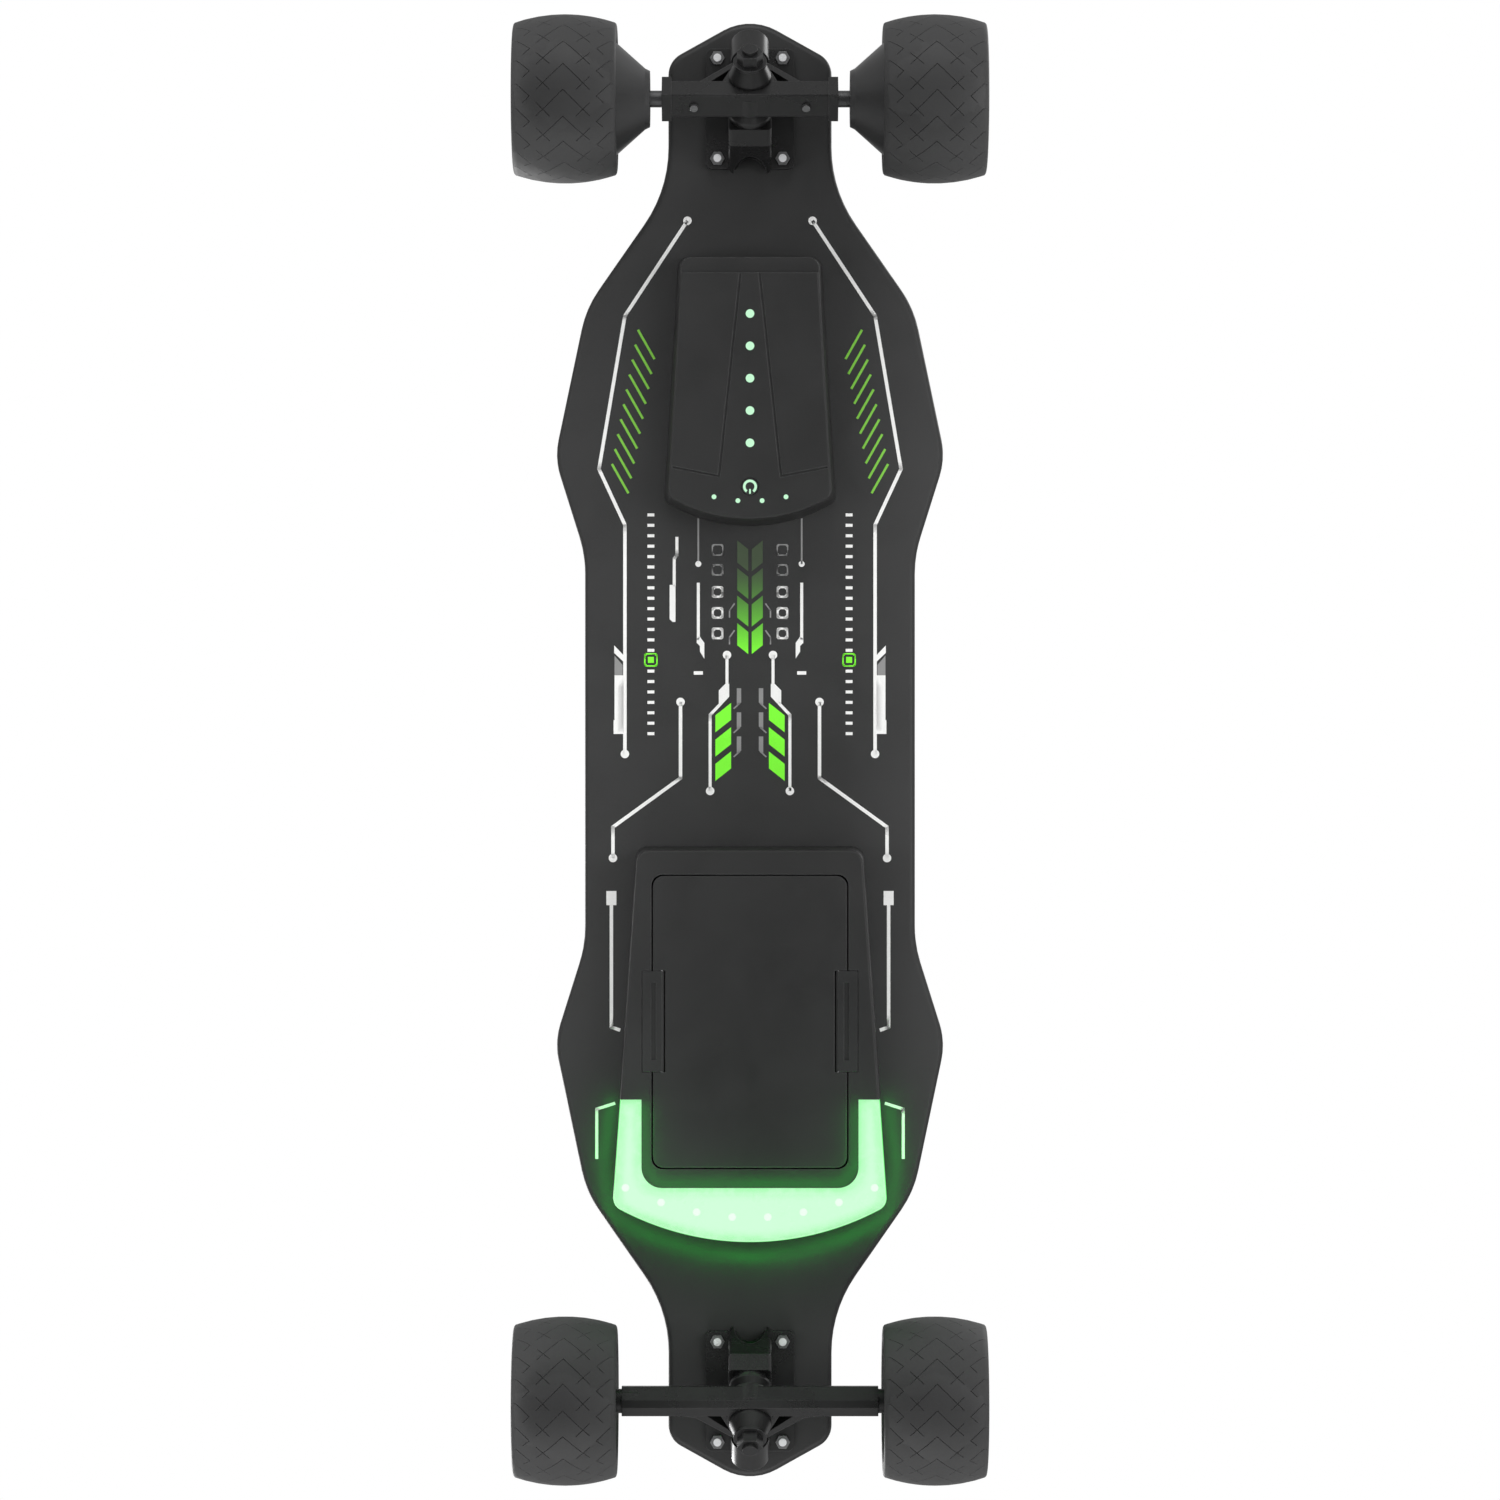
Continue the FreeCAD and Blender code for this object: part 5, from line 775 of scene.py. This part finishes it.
def tread_sheet(bm):
    """Flat lattice of diamonds, one tyre's circumference long, with its grooves marked."""
    length = 2 * math.pi * TYRE_RADIUS
    step = length / LATTICE
    side = step / math.sqrt(2)
    count = int((length + 4 * TREAD_HALF) / side / 2) * 2
    bmesh.ops.create_grid(bm, x_segments=count, y_segments=count, size=count * side / 2)
    bmesh.ops.rotate(bm, verts=bm.verts, cent=(0, 0, 0),
                     matrix=Matrix.Rotation(math.pi / 4, 3, "Z"))
    reach = step * round(TREAD_HALF / step * 2) / 2
    for place, normal in (((length / 2, 0, 0), (1, 0, 0)), ((-length / 2, 0, 0), (-1, 0, 0)),
                          ((0, reach, 0), (0, 1, 0)), ((0, -reach, 0), (0, -1, 0))):
        bmesh.ops.bisect_plane(bm, geom=bm.verts[:] + bm.edges[:] + bm.faces[:], dist=1e-6,
                               plane_co=place, plane_no=normal, clear_outer=True)
    return step, reach


def is_groove(edge, step):
    """Broken arrow arms: half of the lattice's lines, left whole where an arm is interrupted."""
    first, second = [vertex.co for vertex in edge.verts]
    middle = (first + second) / 2
    way = second - first
    if abs(abs(way.x) - abs(way.y)) > 1e-5:
        return False
    away = abs(middle.y) / step
    if BREAK_START < away < BREAK_END or away > TREAD_END:
        return False
    rising = way.x * way.y > 0
    line = (middle.x - middle.y if rising else middle.x + middle.y) / step
    number = round(line)
    outward = rising == (middle.y > 0)
    if (not outward and away < INNER_ARM_START) or (outward and away > OUTER_ARM_END):
        return False
    return number % 2 == (0 if outward else 1)


def treaded_tyre(name, centre, body):
    """Tyre with real grooves: a grooved sheet rolled up, with its two walls and its bore."""
    bm = bmesh.new()
    step, reach = tread_sheet(bm)
    lines = [edge for edge in bm.edges if is_groove(edge, step)]
    cut = bmesh.ops.bevel(bm, geom=lines, affect="EDGES", offset=GROOVE_HALF, segments=1,
                          profile=0.5, material=-1, clamp_overlap=True)
    bmesh.ops.inset_region(bm, faces=cut["faces"], thickness=GROOVE_WALL, depth=-GROOVE_DEPTH,
                           use_even_offset=True)
    for vertex in bm.verts:
        angle = vertex.co.x / TYRE_RADIUS
        radius = crown(vertex.co.y) + vertex.co.z
        vertex.co = Vector((vertex.co.y, radius * math.sin(angle), radius * math.cos(angle)))
    bmesh.ops.remove_doubles(bm, verts=bm.verts, dist=0.00001)
    rims = {}
    for way in (1, -1):
        ring = [edge for edge in bm.edges if edge.is_boundary
                and all(vertex.co.x * way > reach * 0.99 for vertex in edge.verts)]
        for across, radius in SIDE_PROFILE:
            made = bmesh.ops.extrude_edge_only(bm, edges=ring)["geom"]
            ring = [item for item in made if isinstance(item, bmesh.types.BMEdge)]
            for vertex in {vertex for edge in ring for vertex in edge.verts}:
                flat = Vector((0, vertex.co.y, vertex.co.z)).normalized() * radius * MM
                vertex.co = Vector((way * across * MM, flat.y, flat.z))
        rims[way] = ring
    bmesh.ops.bridge_loops(bm, edges=rims[1] + rims[-1])
    bmesh.ops.translate(bm, verts=bm.verts, vec=centre)
    return make_piece(bm, name, body, SLOTS["tyre_rubber"], 40.0)


for end in ("front", "rear"):
    for side_name, side in SIDES.items():
        node = "%s_%s_tyre" % (end, side_name)
        low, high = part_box(node)
        piece = treaded_tyre("%s_%s_treaded_tyre" % (end, side_name), (low + high) / 2,
                             "%s_%s_wheel" % (end, side_name))
        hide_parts(node)


# ---------------------------------------------------------------- floor, lights and camera

def make_floor():
    """Pale floor seen only from above, clear to shadow rays and fading to white far away."""
    bm = bmesh.new()
    bmesh.ops.create_grid(bm, x_segments=1, y_segments=1, size=6.0)
    mesh = bpy.data.meshes.new("floor")
    bm.to_mesh(mesh)
    bm.free()
    floor = bpy.data.objects.new("floor", mesh)
    bpy.context.scene.collection.objects.link(floor)
    material = bpy.data.materials.new("pale floor")
    material.use_nodes = True
    tree = material.node_tree
    shader = tree.nodes["Principled BSDF"]
    shader.inputs["Base Color"].default_value = (0.8, 0.8, 0.8, 1.0)
    shader.inputs["Roughness"].default_value = 0.7
    clear = add(tree, "ShaderNodeBsdfTransparent")
    face = add(tree, "ShaderNodeNewGeometry")
    rays = add(tree, "ShaderNodeLightPath")
    through = add(tree, "ShaderNodeMath", operation="MAXIMUM")
    link(tree, face.outputs["Backfacing"], through.inputs[0])
    link(tree, rays.outputs["Is Shadow Ray"], through.inputs[1])
    place = add(tree, "ShaderNodeTexCoord")
    reach = add(tree, "ShaderNodeVectorMath", operation="LENGTH")
    link(tree, place.outputs["Object"], reach.inputs[0])
    far = add(tree, "ShaderNodeMapRange", {"From Min": 0.7, "From Max": 2.6})
    link(tree, reach.outputs["Value"], far.inputs["Value"])
    seen = add(tree, "ShaderNodeMath", operation="MULTIPLY")
    link(tree, far.outputs["Result"], seen.inputs[0])
    link(tree, rays.outputs["Is Camera Ray"], seen.inputs[1])
    bright = add(tree, "ShaderNodeEmission", {"Color": (1.0, 1.0, 1.0, 1.0), "Strength": 1.0})
    fading = add(tree, "ShaderNodeMixShader")
    link(tree, seen.outputs["Value"], fading.inputs["Fac"])
    link(tree, shader.outputs["BSDF"], fading.inputs[1])
    link(tree, bright.outputs["Emission"], fading.inputs[2])
    blend = add(tree, "ShaderNodeMixShader")
    link(tree, through.outputs["Value"], blend.inputs["Fac"])
    link(tree, fading.outputs["Shader"], blend.inputs[1])
    link(tree, clear.outputs["BSDF"], blend.inputs[2])
    link(tree, blend.outputs["Shader"], tree.nodes["Material Output"].inputs["Surface"])
    mesh.materials.append(material)


def area_light(name, place, turn, size, power, colour=(1.0, 1.0, 1.0)):
    """Rectangular light that the camera does not see."""
    data = bpy.data.lights.new(name, "AREA")
    data.shape = "RECTANGLE"
    data.size, data.size_y = size
    data.energy = power
    data.color = colour
    lamp = bpy.data.objects.new(name, data)
    lamp.location = place
    lamp.rotation_euler = turn
    lamp.visible_camera = False
    bpy.context.scene.collection.objects.link(lamp)


def soft_light(name, place, aim, size, power):
    turn = (Vector(aim) - Vector(place)).to_track_quat("-Z", "Y").to_euler()
    area_light(name, place, turn, size, power)


# places in mm along the lens, outside it and inside it
NOSE_PATH = [(90, -222), (96, -262), (91, -297), (60, -311), (30, -320), (0, -323), (-30, -320),
             (-60, -311), (-91, -297), (-96, -262), (-90, -222)]
INNER_PATH = [(67, -222), (67, -262), (58, -273), (-58, -273), (-67, -262), (-67, -222)]
GLOW_POWER = 0.1  # for each metre of the strip
GLOW_DROP = 13.0 * MM
GLOW_WIDTH = 3 * MM
GLOW_COLOUR = (0.0, 1.0, 0.06)
DECK_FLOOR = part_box("deck")[0].z


def glow_along(name, path, face):
    """Thin strips of green light below a face that wash it along a path."""
    flip = Matrix.Rotation(math.pi, 3, "X")
    for number, (start, end) in enumerate(zip(path[:-1], path[1:])):
        start, end = Vector(start) * MM, Vector(end) * MM
        middle = (start + end) / 2
        way = end - start
        turn = (Matrix.Rotation(math.atan2(way.y, way.x), 3, "Z") @ flip).to_euler()
        area_light("%s_%d" % (name, number), (middle.x, middle.y, face - GLOW_DROP), turn,
                   (way.length, GLOW_WIDTH), GLOW_POWER * way.length, GLOW_COLOUR)


make_floor()
soft_light("under_key", (-1.3, 0.3, -1.1), (0, 0, 0.1), (0.7, 1.8), 17)
soft_light("under_fill", (1.4, -0.1, -0.9), (0, 0, 0.1), (0.5, 1.8), 11)
soft_light("under_far", (0, 1.7, -0.9), (0, 0.4, 0.1), (1.2, 0.5), 10)
soft_light("under_near", (0, -1.7, -0.9), (0, -0.4, 0.1), (1.2, 0.5), 12)
soft_light("over_key", (1.2, -0.8, 2.0), (0, 0, 0.1), (1.2, 1.2), 30)
soft_light("over_fill", (-1.6, 1.0, 1.5), (0, 0, 0.1), (1.2, 1.2), 12)
glow_along("nose_glow", NOSE_PATH, DECK_FLOOR)
glow_along("frame_glow", INNER_PATH, LENS_FACE)

world = bpy.data.worlds.new("studio")
bpy.context.scene.world = world
world.use_nodes = True
sky = world.node_tree
back = sky.nodes["Background"]
back.inputs["Color"].default_value = (1.0, 1.0, 1.0, 1.0)
back.inputs["Strength"].default_value = 0.5
plain = add(sky, "ShaderNodeBackground", {"Color": (1.0, 1.0, 1.0, 1.0), "Strength": 1.0})
rays = add(sky, "ShaderNodeLightPath")
choose = add(sky, "ShaderNodeMixShader")
link(sky, rays.outputs["Is Camera Ray"], choose.inputs["Fac"])
link(sky, back.outputs["Background"], choose.inputs[1])
link(sky, plain.outputs["Background"], choose.inputs[2])
link(sky, choose.outputs["Shader"], sky.nodes["World Output"].inputs["Surface"])

bpy.context.scene.view_settings.view_transform = "Standard"

camera_data = bpy.data.cameras.new("underside_camera")
camera_data.lens = 135.0
camera_data.sensor_width = 36.0
camera_data.clip_end = 50.0
camera = bpy.data.objects.new("underside_camera", camera_data)
bpy.context.scene.collection.objects.link(camera)
CAMERA_DISTANCE = 3.57
camera.location = (0.0, 0.0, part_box("deck")[0].z - CAMERA_DISTANCE)
camera.rotation_euler = Matrix(((-1, 0, 0), (0, 1, 0), (0, 0, -1))).to_euler()
bpy.context.scene.camera = camera
